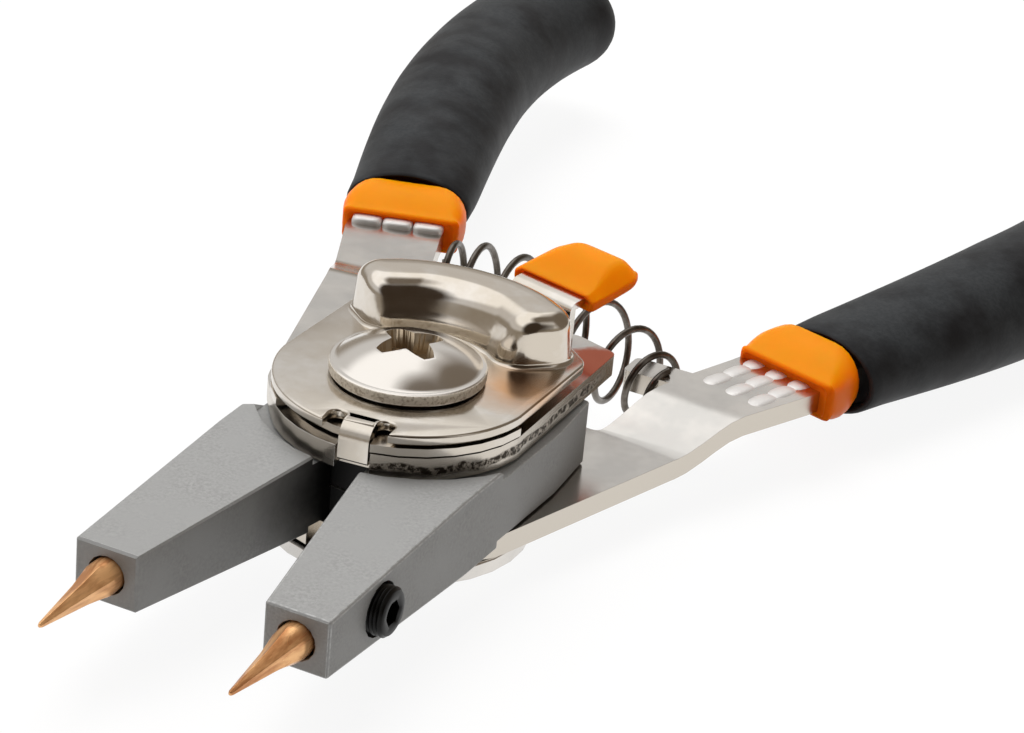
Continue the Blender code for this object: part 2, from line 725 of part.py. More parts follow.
def make_detent_post():
    """A stepped post that stands through the lever and into the hump."""
    top = COVER_TOP + HUMP_HEIGHT - HUMP_WALL - HUMP_ROUND
    shoulder = LEVER_TOP + CLEARANCE
    profile = [
        (0, top),
        (DETENT_POST_RADIUS, top),
        (DETENT_POST_RADIUS, shoulder),
        (DETENT_STEM_RADIUS, shoulder),
        (DETENT_STEM_RADIUS, LEVER_LOW),
        (0, LEVER_LOW),
    ]
    post = turned("detent_post", profile, PIN_STEPS)
    post.location = (*polar(HUMP_RADIUS, DETENT_ANGLE), 0)
    finish(post, spring_steel("post_steel"))
    return post


def make_detent_spring():
    """A small coil round the post, whose ends run straight."""
    centre = polar(HUMP_RADIUS, DETENT_ANGLE)
    low = LEVER_TOP + CLEARANCE + 2 * DETENT_WIRE_RADIUS
    points = []
    for index in range(DETENT_TURNS * COIL_POINTS + 1):
        place = centre + polar(DETENT_COIL_RADIUS, 360 * index / COIL_POINTS)
        points.append(Vector((*place, low + DETENT_COIL_PITCH * index / COIL_POINTS)))
    spring = tube("detent_spring", points, [DETENT_WIRE_RADIUS] * len(points), 1)
    finish(spring, spring_steel("detent_wire"))
    return spring


# Handles, in lengths along the handle's line and out from it
def on_handle(along, out):
    """A place on the upper handle, which leans to the left as it goes back."""
    lean = math.radians(HANDLE_LEAN)
    line = Vector((-math.sin(lean), math.cos(lean)))
    outward = Vector((-math.cos(lean), -math.sin(lean)))
    return line * along + outward * out


def grip_out(along):
    """How far out the grip's centre line lies, which spreads first and then curls in."""
    share = max(along - GRIP_START - GRIP_MOUTH, 0) / (GRIP_LENGTH - GRIP_MOUTH)
    return GRIP_OUT + GRIP_SPREAD * share - GRIP_CURL * share ** 3


def tang_outline(start, margin):
    """The handle's tail inside the collar and the grip, widened by a margin."""
    half = TANG_WIDTH / 2 + margin
    end = TANG_END + margin
    outer = []
    inner = []
    for index in range(TANG_POINTS + 1):
        along = start + (end - start) * index / TANG_POINTS
        outer.append(on_handle(along, grip_out(along) + half))
        inner.append(on_handle(along, grip_out(along) - half))
    return outer + inner[::-1]


def inner_edge_x(y):
    """Where the upper handle's inner edge lies at a distance behind the pivot."""
    lean = math.radians(HANDLE_LEAN)
    return -(HANDLE_IN + y * math.sin(lean)) / math.cos(lean)


def handle_outline():
    """Round boss, ear on the right, waist, spring lug, shoulders and tang."""
    lug_front = SPRING_Y - LUG_WIDTH / 2
    lug_rear = SPRING_Y + LUG_WIDTH / 2
    ear_y = -math.sqrt(RIM_RADIUS ** 2 - EAR_HALF_WIDTH ** 2)
    ear_turn = math.degrees(math.atan2(ear_y, EAR_HALF_WIDTH))
    notch_root = TAB_OUTER_RADIUS - COVER_THICKNESS - CLEARANCE
    notch_half = TAB_WIDTH / 2 + CLEARANCE
    right_turn = turn_beside_tab(RIM_RADIUS, notch_half)
    left_turn = turn_beside_tab(RIM_RADIUS, -notch_half)
    front = arc(RIM_RADIUS, ear_turn, right_turn)
    front += [beside_tab(notch_root, notch_half), beside_tab(notch_root, -notch_half)]
    front += arc(RIM_RADIUS, left_turn, HANDLE_FRONT_END - 360)
    tang = tang_outline(TANG_SHOULDER, 0)
    corners = [(point, 0) for point in front]
    corners.append((on_handle(0, HANDLE_SIDE_OUT), HANDLE_SIDE_FILLET))
    corners.append((on_handle(HANDLE_WAIST_ALONG, HANDLE_WAIST_OUT), HANDLE_WAIST_FILLET))
    corners.append((on_handle(HANDLE_NECK_ALONG, HANDLE_NECK_OUT), 0))
    corners.append((on_handle(TANG_SHOULDER, HANDLE_NECK_OUT), 0))
    corners += [(point, 0) for point in tang]
    corners.append((on_handle(TANG_SHOULDER, HANDLE_NECK_IN), 0))
    corners.append((on_handle(HANDLE_NECK_ALONG, HANDLE_NECK_IN), 0))
    corners.append((Vector((inner_edge_x(lug_rear), lug_rear)), 0))
    corners.append((Vector((-LUG_TIP_X, lug_rear)), LUG_FILLET))
    corners.append((Vector((-LUG_TIP_X, lug_front)), LUG_FILLET))
    corners.append((Vector((inner_edge_x(lug_front), lug_front)), 0))
    corners.append((on_handle(HANDLE_INNER_CORNER, HANDLE_IN), EAR_FILLET))
    corners.append((Vector(EAR_REAR), EAR_FILLET))
    corners.append((Vector(EAR_CORNER), EAR_FILLET))
    return rounded(corners)


def split_across(shape, place, normal):
    """Add a line of edges where a plane crosses the mesh."""
    geometry = shape.verts[:] + shape.edges[:] + shape.faces[:]
    bmesh.ops.bisect_plane(shape, geom=geometry, dist=WELD, plane_co=place, plane_no=normal)


def bend_down(obj, drop):
    """Ease the handle from its boss level to its grip level, across a slanting band."""
    lean = math.radians(BEND_LEAN)
    line = Vector((-math.sin(lean), math.cos(lean), 0))
    shape = bmesh.new()
    shape.from_mesh(obj.data)
    for step in range(BEND_STEPS + 1):
        place = line * (BEND_START + BEND_LENGTH * step / BEND_STEPS)
        split_across(shape, place, line)
    for vertex in shape.verts:
        share = min(max((vertex.co.dot(line) - BEND_START) / BEND_LENGTH, 0), 1)
        vertex.co.z -= drop * share * share * (3 - 2 * share)
    shape.to_mesh(obj.data)
    shape.free()


def make_upper_handle():
    """Stamped plate: boss and ear at the pivot, bent down to the grip level behind."""
    handle = plate("upper_handle", [handle_outline()], UPPER_HANDLE_LOW, UPPER_HANDLE_TOP)
    boss_level = UPPER_HANDLE_LOW + HANDLE_THICKNESS / 2
    bend_down(handle, boss_level - MIDDLE - GRIP_LEVEL)
    bore(handle, PIVOT_BORE_RADIUS, Vector((0, 0)), UPPER_HANDLE_LOW, UPPER_HANDLE_TOP)
    for side in (-1, 1):
        centre = polar(PIN_CIRCLE_RADIUS, 90 + side * PIN_ANGLE)
        bore(handle, PIN_BORE_RADIUS, centre, UPPER_HANDLE_LOW, UPPER_HANDLE_TOP)
    finish(handle, nickel("upper_handle_nickel"))
    return handle


def cut_tang_slot(obj, start):
    """Clear the way for the tang, from just before a start along the handle."""
    half = HANDLE_THICKNESS / 2 + CLEARANCE
    level = MIDDLE + GRIP_LEVEL
    outline = tang_outline(start - OVERRUN, CLEARANCE)
    cut(obj, plate(f"{obj.name}_tang_slot", [outline], level - half, level + half))


def make_left_collar():
    """A rounded block that widens to the rear, slotted for the handle and its tang."""
    level = MIDDLE + GRIP_LEVEL
    end = COLLAR_START + COLLAR_LENGTH
    corners = [
        (on_handle(COLLAR_START, COLLAR_FRONT_OUT - COLLAR_FRONT_WIDTH / 2), COLLAR_CORNER),
        (on_handle(COLLAR_START, COLLAR_FRONT_OUT + COLLAR_FRONT_WIDTH / 2), COLLAR_CORNER),
        (on_handle(end, COLLAR_REAR_OUT + COLLAR_REAR_WIDTH / 2), COLLAR_CORNER),
        (on_handle(end, COLLAR_REAR_OUT - COLLAR_REAR_WIDTH / 2), COLLAR_CORNER),
    ]
    low = level - COLLAR_REAR_HEIGHT / 2
    collar = plate("left_collar", [rounded(corners)], low, low + COLLAR_REAR_HEIGHT)
    soften(collar, COLLAR_ROUND, COLLAR_ROUND_STEPS)
    front_share = COLLAR_FRONT_HEIGHT / COLLAR_REAR_HEIGHT
    for vertex in collar.data.vertices:
        back = (vertex.co.xy.dot(on_handle(1, 0)) - COLLAR_START) / COLLAR_LENGTH
        vertex.co.z *= front_share + (1 - front_share) * back
    half = HANDLE_THICKNESS / 2 + CLEARANCE
    mouth = [
        on_handle(COLLAR_START - OVERRUN, HANDLE_NECK_IN - CLEARANCE),
        on_handle(COLLAR_START - OVERRUN, HANDLE_NECK_OUT + CLEARANCE),
        on_handle(TANG_SHOULDER + CLEARANCE, HANDLE_NECK_OUT + CLEARANCE),
        on_handle(TANG_SHOULDER + CLEARANCE, HANDLE_NECK_IN - CLEARANCE),
    ]
    cut(collar, plate("collar_mouth", [mouth], level - half, level + half))
    cut_tang_slot(collar, TANG_SHOULDER)
    finish(collar, orange("left_collar_orange"))
    return collar


def make_left_grip():
    """An oval sleeve along the grip's curve, with a domed end and a slot for the tang."""
    level = MIDDLE + GRIP_LEVEL + GRIP_LIFT
    straight = GRIP_LENGTH - GRIP_DOME
    places = [straight * ring / GRIP_RINGS for ring in range(GRIP_RINGS)]
    for ring in range(GRIP_DOME_RINGS + 1):
        places.append(straight + GRIP_DOME * math.sin(math.pi / 2 * ring / (GRIP_DOME_RINGS + 1)))
    points = []
    radii = []
    for place in places:
        along = GRIP_START + place
        points.append(Vector((*on_handle(along, grip_out(along)), level)))
        swell = math.sin(math.pi / 2 * min(place / GRIP_LENGTH / GRIP_SWELL_SHARE, 1))
        radius = GRIP_RADIUS * (GRIP_MOUTH_SHARE + (1 - GRIP_MOUTH_SHARE) * swell)
        dome = max(place - straight, 0) / GRIP_DOME
        radii.append(radius * math.sqrt(1 - dome ** 2))
    grip = tube("left_grip", points, radii, GRIP_RESOLUTION)
    for vertex in grip.data.vertices:
        back = (vertex.co.xy.dot(on_handle(1, 0)) - GRIP_START) / GRIP_LENGTH
        swell = min(back / GRIP_SWELL_SHARE, 1)
        growth = (GRIP_HEIGHT_SHARE - GRIP_MOUTH_HEIGHT_SHARE) * swell
        vertex.co.z = level + (vertex.co.z - level) * (GRIP_MOUTH_HEIGHT_SHARE + growth)
    cut_tang_slot(grip, GRIP_START)
    finish(grip, foam("left_grip_foam"))
    return grip


# Jaws and what they carry
def jaw_inner_x(distance):
    return JAW_HALF_GAP + distance * math.tan(math.radians(JAW_OPEN_ANGLE))


def jaw_side_x(distance):
    share = (distance - JAW_STEP_Y) / (JAW_FRONT_Y - JAW_STEP_Y)
    return JAW_SIDE_X + (JAW_FRONT_X - JAW_SIDE_X) * share


def jaw_block():
    """The jaw's side view from above, as thick as its step, thinned toward the front."""
    outline = [
        Vector((jaw_inner_x(JAW_FRONT_Y), -JAW_FRONT_Y)),
        Vector((JAW_FRONT_X, -JAW_FRONT_Y)),
        Vector((JAW_SIDE_X, -JAW_STEP_Y)),
        Vector(JAW_HIP),
        Vector(JAW_HEEL),
        Vector((JAW_HALF_GAP, JAW_HEEL_INNER_Y)),
        Vector((JAW_HALF_GAP, 0)),
    ]
    half = JAW_STEP_THICKNESS / 2
    block = plate("right_jaw", [outline], MIDDLE - half, MIDDLE + half)
    thinning = 1 - JAW_FRONT_THICKNESS / JAW_STEP_THICKNESS
    shape = bmesh.new()
    shape.from_mesh(block.data)
    split_across(shape, Vector((0, -JAW_STEP_Y, 0)), Vector((0, 1, 0)))
    for vertex in shape.verts:
        ahead = max(-vertex.co.y - JAW_STEP_Y, 0) / (JAW_FRONT_Y - JAW_STEP_Y)
        vertex.co.z *= 1 - thinning * ahead
    bmesh.ops.dissolve_limit(shape, angle_limit=math.radians(1), verts=shape.verts, edges=shape.edges)
    shape.to_mesh(block.data)
    shape.free()
    round_off(block, JAW_EDGE)
    return block


def rod(name, radius, start, end, sides, end_radius=None):
    """A cylinder, or a cone where its end radius differs, between two places."""
    line = end - start
    shape = bmesh.new()
    bmesh.ops.create_cone(shape, cap_ends=True, segments=sides, radius1=radius,
                          radius2=radius if end_radius is None else end_radius,
                          depth=line.length)
    mesh = bpy.data.meshes.new(name)
    shape.to_mesh(mesh)
    shape.free()
    obj = add(name, mesh)
    turn = line.to_track_quat("Z", "Y").to_matrix().to_4x4()
    obj.matrix_world = Matrix.Translation((start + end) / 2) @ turn
    return obj


def make_right_jaw():
    """Tapered jaw, stepped down round the pivot, half lapped with the other jaw."""
    jaw = jaw_block()
    rear = JAW_HEEL_INNER_Y + OVERRUN
    step = arc(RECESS_STEP_RADIUS, 180, 360, Vector((0, RECESS_CENTRE_Y)))
    step += [Vector((RECESS_STEP_RADIUS, rear)), Vector((-RECESS_STEP_RADIUS, rear))]
    half = JAW_STEP_THICKNESS / 2
    join(jaw, plate("lap_disc", [circle(JAW_DISC_RADIUS)], MIDDLE - half, MIDDLE + half))
    cut(jaw, plate("upper_step", [step], JAW_TOP, JAW_TOP + JAW_STEP_THICKNESS))
    cut(jaw, plate("lower_step", [step], JAW_LOW - JAW_STEP_THICKNESS, JAW_LOW))
    lap = MIDDLE + JAW_HALF_GAP
    cut(jaw, plate("lap_pocket", [circle(JAW_POCKET_RADIUS)], JAW_LOW - JAW_STEP_THICKNESS, lap))
    bore(jaw, PIVOT_BORE_RADIUS, Vector((0, 0)), JAW_LOW, JAW_TOP)
    bore(jaw, PIN_BORE_RADIUS, polar(PIN_CIRCLE_RADIUS, 90 - PIN_ANGLE), JAW_LOW, JAW_TOP)
    front = Vector((POINT_X, -JAW_FRONT_Y - OVERRUN, MIDDLE))
    back = Vector((POINT_X, POINT_BORE_DEPTH - JAW_FRONT_Y, MIDDLE))
    cut(jaw, rod("point_bore", POINT_BORE_RADIUS, front, back, PIN_STEPS))
    inside = Vector((POINT_X, -SET_SCREW_Y, MIDDLE))
    outside = inside + Vector((JAW_SIDE_X, 0, 0))
    cut(jaw, rod("set_screw_bore", SET_SCREW_RADIUS + CLEARANCE, inside, outside, PIN_STEPS))
    finish(jaw, sintered("right_jaw_steel"))
    return jaw


def make_right_tip():
    """A round shank in the jaw's bore and a faceted point ahead of it."""
    face = Vector((POINT_X, -JAW_FRONT_Y - CLEARANCE, MIDDLE))
    back = Vector((POINT_X, POINT_BORE_DEPTH - CLEARANCE - JAW_FRONT_Y, MIDDLE))
    end = Vector((POINT_X - POINT_SET_IN, -JAW_FRONT_Y - POINT_REACH, MIDDLE))
    tip = rod("right_tip", POINT_RADIUS, back, face - Vector((0, CLEARANCE, 0)), PIN_STEPS)
    join(tip, rod("point_cone", POINT_BASE_RADIUS, face, end, POINT_FACETS, POINT_BLUNT_RADIUS))
    finish(tip, copper("right_tip_copper"))
    return tip


def make_right_tip_screw():
    """A socket set screw that stands a little proud of the jaw's side."""
    outer_x = jaw_side_x(SET_SCREW_Y) + SET_SCREW_PROUD
    length = outer_x - (POINT_X + POINT_RADIUS + CLEARANCE)
    chamfer = SET_SCREW_EDGE
    profile = [
        (0, 0),
        (SET_SCREW_RADIUS - chamfer, 0),
        (SET_SCREW_RADIUS, -chamfer),
        (SET_SCREW_RADIUS, chamfer - length),
        (SET_SCREW_RADIUS - chamfer, -length),
        (0, -length),
    ]
    screw = turned("right_tip_screw", profile, PIN_STEPS)
    place = Matrix.Translation((outer_x, -SET_SCREW_Y, MIDDLE)) @ Matrix.Rotation(math.pi / 2, 4, "Y")
    screw.matrix_world = place
    floor = Vector((outer_x - SET_SCREW_SOCKET_DEPTH, -SET_SCREW_Y, MIDDLE))
    mouth = Vector((outer_x + OVERRUN, -SET_SCREW_Y, MIDDLE))
    cut(screw, rod("socket", SET_SCREW_SOCKET_RADIUS, floor, mouth, SOCKET_SIDES))
    finish(screw, black_oxide("right_set_screw_black"))
    return screw


def make_right_drive_pin():
    """The pin that couples the upper handle to the right jaw's heel."""
    profile = [
        (0, UPPER_HANDLE_TOP),
        (PIN_RADIUS - PIN_EDGE, UPPER_HANDLE_TOP),
        (PIN_RADIUS, UPPER_HANDLE_TOP - PIN_EDGE),
        (PIN_RADIUS, JAW_LOW + PIN_EDGE),
        (PIN_RADIUS - PIN_EDGE, JAW_LOW),
        (0, JAW_LOW),
    ]
    pin = turned("right_drive_pin", profile, PIN_STEPS)
    pin.location = (*polar(PIN_CIRCLE_RADIUS, 90 - PIN_ANGLE), 0)
    finish(pin, spring_steel("right_pin_steel"))
    return pin


# Return spring
def spring_reach():
    """Half the distance between the middles of the coil's two ends."""
    lean = math.radians(HANDLE_LEAN)
    return -inner_edge_x(SPRING_Y) - (CLEARANCE + SPRING_TAIL) / math.cos(lean)


def spring_axis(share):
    """The coil's middle line, straight from above and easing from one handle's level to the other."""
    ease = share * share * (3 - 2 * share)
    return Vector((spring_reach() * (2 * share - 1), SPRING_Y, MIDDLE + GRIP_LEVEL * (1 - 2 * ease)))


def least_gap(points, radius):
    """The least distance between turns, measured on the points, less the wire."""
    skip = COIL_POINTS // 2
    return min((b - a).length for i, a in enumerate(points) for b in points[i + skip:]) - 2 * radius


def make_return_spring():
    """One wire: close small turns at each lug, wide open turns between, and straight ends."""
    points = []
    count = SPRING_TURNS * COIL_POINTS
    for index in range(count + 1):
        turn = index / count
        share = turn - SPRING_SPREAD_SHARE * math.sin(2 * math.pi * turn) / (2 * math.pi)
        radius = SPRING_END_RADIUS + (SPRING_RADIUS - SPRING_END_RADIUS) * math.sin(math.pi * turn)
        lean = math.radians(HANDLE_LEAN) * math.cos(math.pi * turn)
        fall = -6 * GRIP_LEVEL * share * (1 - share) / spring_reach()
        line = Vector((math.cos(lean), math.sin(lean), fall)).normalized()
        front = line.cross(Vector((0, 0, 1))).normalized()
        up = front.cross(line)
        angle = 2 * math.pi * index / COIL_POINTS
        points.append(spring_axis(share) + (front * math.cos(angle) + up * math.sin(angle)) * radius)
    inward = on_handle(0, -1)
    points.insert(0, points[0] - Vector((inward.x, inward.y, 0)) * SPRING_TAIL)
    points.append(points[-1] - Vector((-inward.x, inward.y, 0)) * SPRING_TAIL)
    spring = tube("return_spring", points, [WIRE_RADIUS] * len(points), 1)
    finish(spring, spring_steel("return_spring_steel"))
    print(f"return spring's least gap: {least_gap(points, WIRE_RADIUS) / MM:.2f} mm")
    return spring


# The whole tool
def main():
    make_pivot_screw()
    make_pivot_bush()
    make_bottom_plate()
    make_pivot_nut()
    make_return_spring()
    cover = make_cover_plate()
    lever = [make_shift_lever(), make_lever_cap(), make_detent_post(), make_detent_spring()]

    handle = make_upper_handle()
    collar = make_left_collar()
    grip = make_left_grip()
    lower_handle = turned_over(handle, "lower_handle", nickel("lower_handle_nickel"))
    right_collar = turned_over(collar, "right_collar", orange("right_collar_orange"))
    right_grip = turned_over(grip, "right_grip", foam("right_grip_foam"))

    jaw = make_right_jaw()
    tip = make_right_tip()
    tip_screw = make_right_tip_screw()
    pin = make_right_drive_pin()
    left_jaw = turned_over(jaw, "left_jaw", sintered("left_jaw_steel"))
    left_tip = turned_over(tip, "left_tip", copper("left_tip_copper"))
    left_screw = turned_over(tip_screw, "left_tip_screw", black_oxide("left_set_screw_black"))
    left_pin = turned_over(pin, "left_drive_pin", spring_steel("left_pin_steel"))

    hang_on_axis("shift_lever_axis", lever)
    hang_on_axis("upper_arm_axis", [cover, handle, collar, grip])
    hang_on_axis("lower_arm_axis", [lower_handle, right_collar, right_grip])
    hang_on_axis("right_jaw_axis", [jaw, tip, tip_screw, pin])
    hang_on_axis("left_jaw_axis", [left_jaw, left_tip, left_screw, left_pin])


main()
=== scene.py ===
# %% [markdown]
# # Circlip pliers in a bright studio
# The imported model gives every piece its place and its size. This script dresses it: it keeps the
# pieces whose shape is already right, remakes the ones that the eye rests on, and gives each its finish.

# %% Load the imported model
import math

import bmesh
import bpy
from mathutils import Matrix, Vector


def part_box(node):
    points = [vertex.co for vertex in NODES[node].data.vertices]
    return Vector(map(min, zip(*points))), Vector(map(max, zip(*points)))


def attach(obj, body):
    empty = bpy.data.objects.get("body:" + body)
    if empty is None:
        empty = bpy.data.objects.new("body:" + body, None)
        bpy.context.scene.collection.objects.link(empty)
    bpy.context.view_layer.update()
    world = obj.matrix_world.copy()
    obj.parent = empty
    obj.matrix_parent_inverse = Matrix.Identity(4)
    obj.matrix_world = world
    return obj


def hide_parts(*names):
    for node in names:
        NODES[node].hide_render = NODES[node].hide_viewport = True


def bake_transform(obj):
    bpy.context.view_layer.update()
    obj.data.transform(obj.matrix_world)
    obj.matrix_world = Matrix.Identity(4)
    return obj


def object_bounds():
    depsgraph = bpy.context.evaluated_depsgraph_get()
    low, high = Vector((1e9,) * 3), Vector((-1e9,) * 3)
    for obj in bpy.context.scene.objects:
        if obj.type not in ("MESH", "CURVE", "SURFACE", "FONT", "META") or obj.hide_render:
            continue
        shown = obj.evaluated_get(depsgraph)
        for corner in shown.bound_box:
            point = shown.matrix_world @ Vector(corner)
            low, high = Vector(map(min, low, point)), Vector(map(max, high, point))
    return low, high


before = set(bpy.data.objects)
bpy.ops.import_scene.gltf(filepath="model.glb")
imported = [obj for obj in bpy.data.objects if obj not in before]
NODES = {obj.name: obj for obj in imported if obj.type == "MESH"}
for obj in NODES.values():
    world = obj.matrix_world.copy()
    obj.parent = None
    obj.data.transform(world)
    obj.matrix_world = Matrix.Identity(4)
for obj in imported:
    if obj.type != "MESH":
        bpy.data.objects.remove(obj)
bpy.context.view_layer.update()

MM = 0.001

# %% [markdown]
# ## The camera
# A long lens from the front right, a little above, with a slight roll: parallel edges stay almost
# parallel, as they do in a catalogue picture. Its place is measured from the pivot's axis.

# %% Camera
PICTURE_WIDTH = 1024
FOCAL_PIXELS = 3000
SENSOR = 36
CAMERA_AZIMUTH = math.radians(24.213)
CAMERA_ELEVATION = math.radians(25.471)
CAMERA_ROLL = math.radians(5.584)
CAMERA_PLACE = Vector((143.2, -288.47, 178.07)) * MM

lens = bpy.data.cameras.new("camera")
lens.sensor_width = SENSOR
lens.lens = FOCAL_PIXELS / PICTURE_WIDTH * SENSOR
lens.clip_start = 10 * MM
camera = bpy.data.objects.new("camera", lens)
bpy.context.scene.collection.objects.link(camera)
aim = Matrix.Rotation(CAMERA_AZIMUTH, 4, "Z") @ Matrix.Rotation(math.pi / 2 - CAMERA_ELEVATION, 4, "X")
camera.matrix_world = Matrix.Translation(CAMERA_PLACE) @ aim @ Matrix.Rotation(CAMERA_ROLL, 4, "Z")
bpy.context.scene.camera = camera
bpy.context.scene.view_settings.view_transform = "Standard"
print(f"lens: {lens.lens:.1f} mm")

# %% [markdown]
# ## Shapes
# Two ways make most pieces. A loft skins a surface over rings of points, which suits what is moulded
# or turned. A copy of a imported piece, merged from its loose triangles, suits what is stamped or
# sintered: its sharp edges then get the small radius that catches the light.

# %% Helpers for outlines
def polar(radius, degrees):
    angle = math.radians(degrees)
    return Vector((radius * math.cos(angle), radius * math.sin(angle)))


def arc(radius, start, end, step=3.0, count=None):
    """Points along an arc about the pivot: one every few degrees, or a count of steps."""
    count = count or max(2, math.ceil(abs(end - start) / step))
    return [polar(radius, start + (end - start) * i / count) for i in range(count + 1)]


def rounded(corners, step=6.0, count=None):
    """A closed outline from (point, radius) corners, each radius turned into an arc."""
    outline = []
    for index, (here, radius) in enumerate(corners):
        if radius == 0:
            outline.append(here)
            continue
        before = (corners[index - 1][0] - here).normalized()
        after = (corners[(index + 1) % len(corners)][0] - here).normalized()
        half = before.angle(after) / 2
        centre = here + (before + after).normalized() * radius / math.sin(half)
        spoke = here + before * radius / math.tan(half) - centre
        turn = math.pi - 2 * half
        if before.cross(after) > 0:
            turn = -turn
        steps = count or max(1, math.ceil(abs(math.degrees(turn)) / step))
        for number in range(steps + 1):
            outline.append(centre + Matrix.Rotation(turn * number / steps, 2) @ spoke)
    return outline


# %% Helpers for meshes
FLAT_ANGLE = math.radians(0.5)
SAME_PLACE = 0.002 * MM


def mesh_from(shape, name):
    mesh = bpy.data.meshes.new(name)
    shape.to_mesh(mesh)
    shape.free()
    return mesh


def loft(name, rings):
    """A closed skin over rings that have the same number of points."""
    shape = bmesh.new()
    rows = [[shape.verts.new(point) for point in ring] for ring in rings]
    for low, high in zip(rows, rows[1:]):
        for here in range(len(low)):
            after = (here + 1) % len(low)
            shape.faces.new((low[here], low[after], high[after], high[here]))
    shape.faces.new(rows[0][::-1])
    shape.faces.new(rows[-1])
    bmesh.ops.recalc_face_normals(shape, faces=shape.faces)
    return mesh_from(shape, name)


def cleaned(mesh, flat=FLAT_ANGLE):
    """Doubles merged and flat triangles made one face, with the normals outwards."""
    shape = bmesh.new()
    shape.from_mesh(mesh)
    bmesh.ops.remove_doubles(shape, verts=shape.verts, dist=SAME_PLACE)
    bmesh.ops.dissolve_limit(shape, angle_limit=flat, verts=shape.verts, edges=shape.edges)
    bmesh.ops.recalc_face_normals(shape, faces=shape.faces)
    shape.to_mesh(mesh)
    shape.free()
    return mesh


def copy_of(node_name):
    """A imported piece's shape as a mesh to work on."""
    return cleaned(NODES[node_name].data.copy())


def finished(obj):
    """The object with its modifiers applied."""
    bpy.context.view_layer.update()
    graph = bpy.context.evaluated_depsgraph_get()
    mesh = bpy.data.meshes.new_from_object(obj.evaluated_get(graph))
    obj.modifiers.clear()
    obj.data = mesh
    return obj


# %% [markdown]
# ### From mesh to piece
# A piece goes through two doors. The first puts its mesh in the scene with its finishes and shades it
# smooth up to sharp edges. The second hands it over: it says what the piece moves with and which
# imported pieces it stands for.

# %% Helpers for pieces
SHARP_ANGLE = math.radians(40)
EDGE_ANGLE = math.radians(28)
PIECES = []


def add(name, mesh, *looks):
    """Put a mesh in the scene, with its finishes."""
    obj = bpy.data.objects.new(name, mesh)
    bpy.context.scene.collection.objects.link(obj)
    mesh.materials.clear()
    for look in looks:
        mesh.materials.append(look)
    mesh.shade_smooth()
    mesh.set_sharp_from_angle(angle=SHARP_ANGLE)
    return obj


def soft_edges(obj, width, segments=3, worn_slot=-1):
    """Round the sharp edges; the rounded strip may get the finish of a slot of its own."""
    bevel = obj.modifiers.new("edges", "BEVEL")
    bevel.width = width
    bevel.segments = segments
    bevel.limit_method = "ANGLE"
    bevel.angle_limit = EDGE_ANGLE
    bevel.use_clamp_overlap = True
    bevel.miter_outer = "MITER_ARC"
    bevel.material = worn_slot
    weighted = obj.modifiers.new("flats stay flat", "WEIGHTED_NORMAL")
    weighted.weight = 80
    weighted.keep_sharp = True
    return finished(obj)


def settle(obj, body, slot, *nodes):
    """Hand a finished piece over: it rides on its body, if it has just one, and replaces its nodes."""
    if body:
        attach(obj, body)
    if nodes:
        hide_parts(*nodes)
    PIECES.append(obj)
    print(f"{obj.name}: {len(obj.data.polygons)} faces")


# %% [markdown]
# ## Light
# Polished nickel has hardly a colour of its own: it shows the room. A whole room could be built round
# the tool, but bands and patches of light and dark in the world do the same and are quick to move.
# The ceiling is white and the low walls are warm and dimmer. A dark patch behind the camera, one on
# the right and one overhead give the streaks on steep walls and on the dome.

# %% Node helpers
def emptied(owner):
    """The node tree of a material or world, switched on and cleared."""
    owner.use_nodes = True
    owner.node_tree.nodes.clear()
    return owner.node_tree


def node(tree, kind, inputs=None, **settings):
    """Add a node. Each input, by name or number, takes a value or another node's socket."""
    made = tree.nodes.new(kind)
    for key, value in settings.items():
        setattr(made, key, value)
    for key, value in (inputs or {}).items():
        if isinstance(value, bpy.types.NodeSocket):
            tree.links.new(value, made.inputs[key])
        else:
            made.inputs[key].default_value = value
    return made


def sums(tree, operation, *values, clamp=False):
    """The result of a Math node, whose values are sockets or numbers."""
    made = node(tree, "ShaderNodeMath", dict(enumerate(values)), operation=operation, use_clamp=clamp)
    return made.outputs[0]


def vectors(tree, operation, *values, output="Vector"):
    """The result of a Vector Math node, whose values are sockets or triples."""
    made = node(tree, "ShaderNodeVectorMath", dict(enumerate(values)), operation=operation)
    return made.outputs[output]


def step_up(tree, value, start, width):
    """0 up to the start and 1 from a width later on; a negative width steps down instead."""
    return sums(tree, "MULTIPLY_ADD", value, 1 / width, -start / width, clamp=True)


def mixed(tree, share, first, second):
    """The first colour giving way to the second by a share; each is a socket or a colour."""
    ends = [(*end, 1) if isinstance(end, tuple) else end for end in (first, second)]
    return node(tree, "ShaderNodeMix", {0: share, 6: ends[0], 7: ends[1]}, data_type="RGBA").outputs[2]


def ramp(tree, factor, stops):
    """A colour ramp over a factor, from (place, colour) stops."""
    made = node(tree, "ShaderNodeValToRGB", {"Fac": factor})
    while len(made.color_ramp.elements) < len(stops):
        made.color_ramp.elements.new(0.5)
    for element, (place, color) in zip(made.color_ramp.elements, stops):
        element.position = place
        element.color = (*color, 1)
    return made.outputs["Color"]


# %% The room
CEILING = (1.3, 1.3, 1.3)
BACK_WALL = (0.72, 0.71, 0.70)
LOW_WALL = (0.34, 0.30, 0.25)
DARK_SIDE = (0.05, 0.036, 0.025)
OVERHEAD = (0.20, 0.17, 0.14)
RIGHT_WALL = (0.20, 0.165, 0.13)
# Each band: how high it lies, from straight down at 0 to straight up at 1, and its colour
BANDS = [(0.0, LOW_WALL), (0.20, LOW_WALL), (0.36, BACK_WALL), (0.56, BACK_WALL),
         (0.68, CEILING), (1.0, CEILING)]
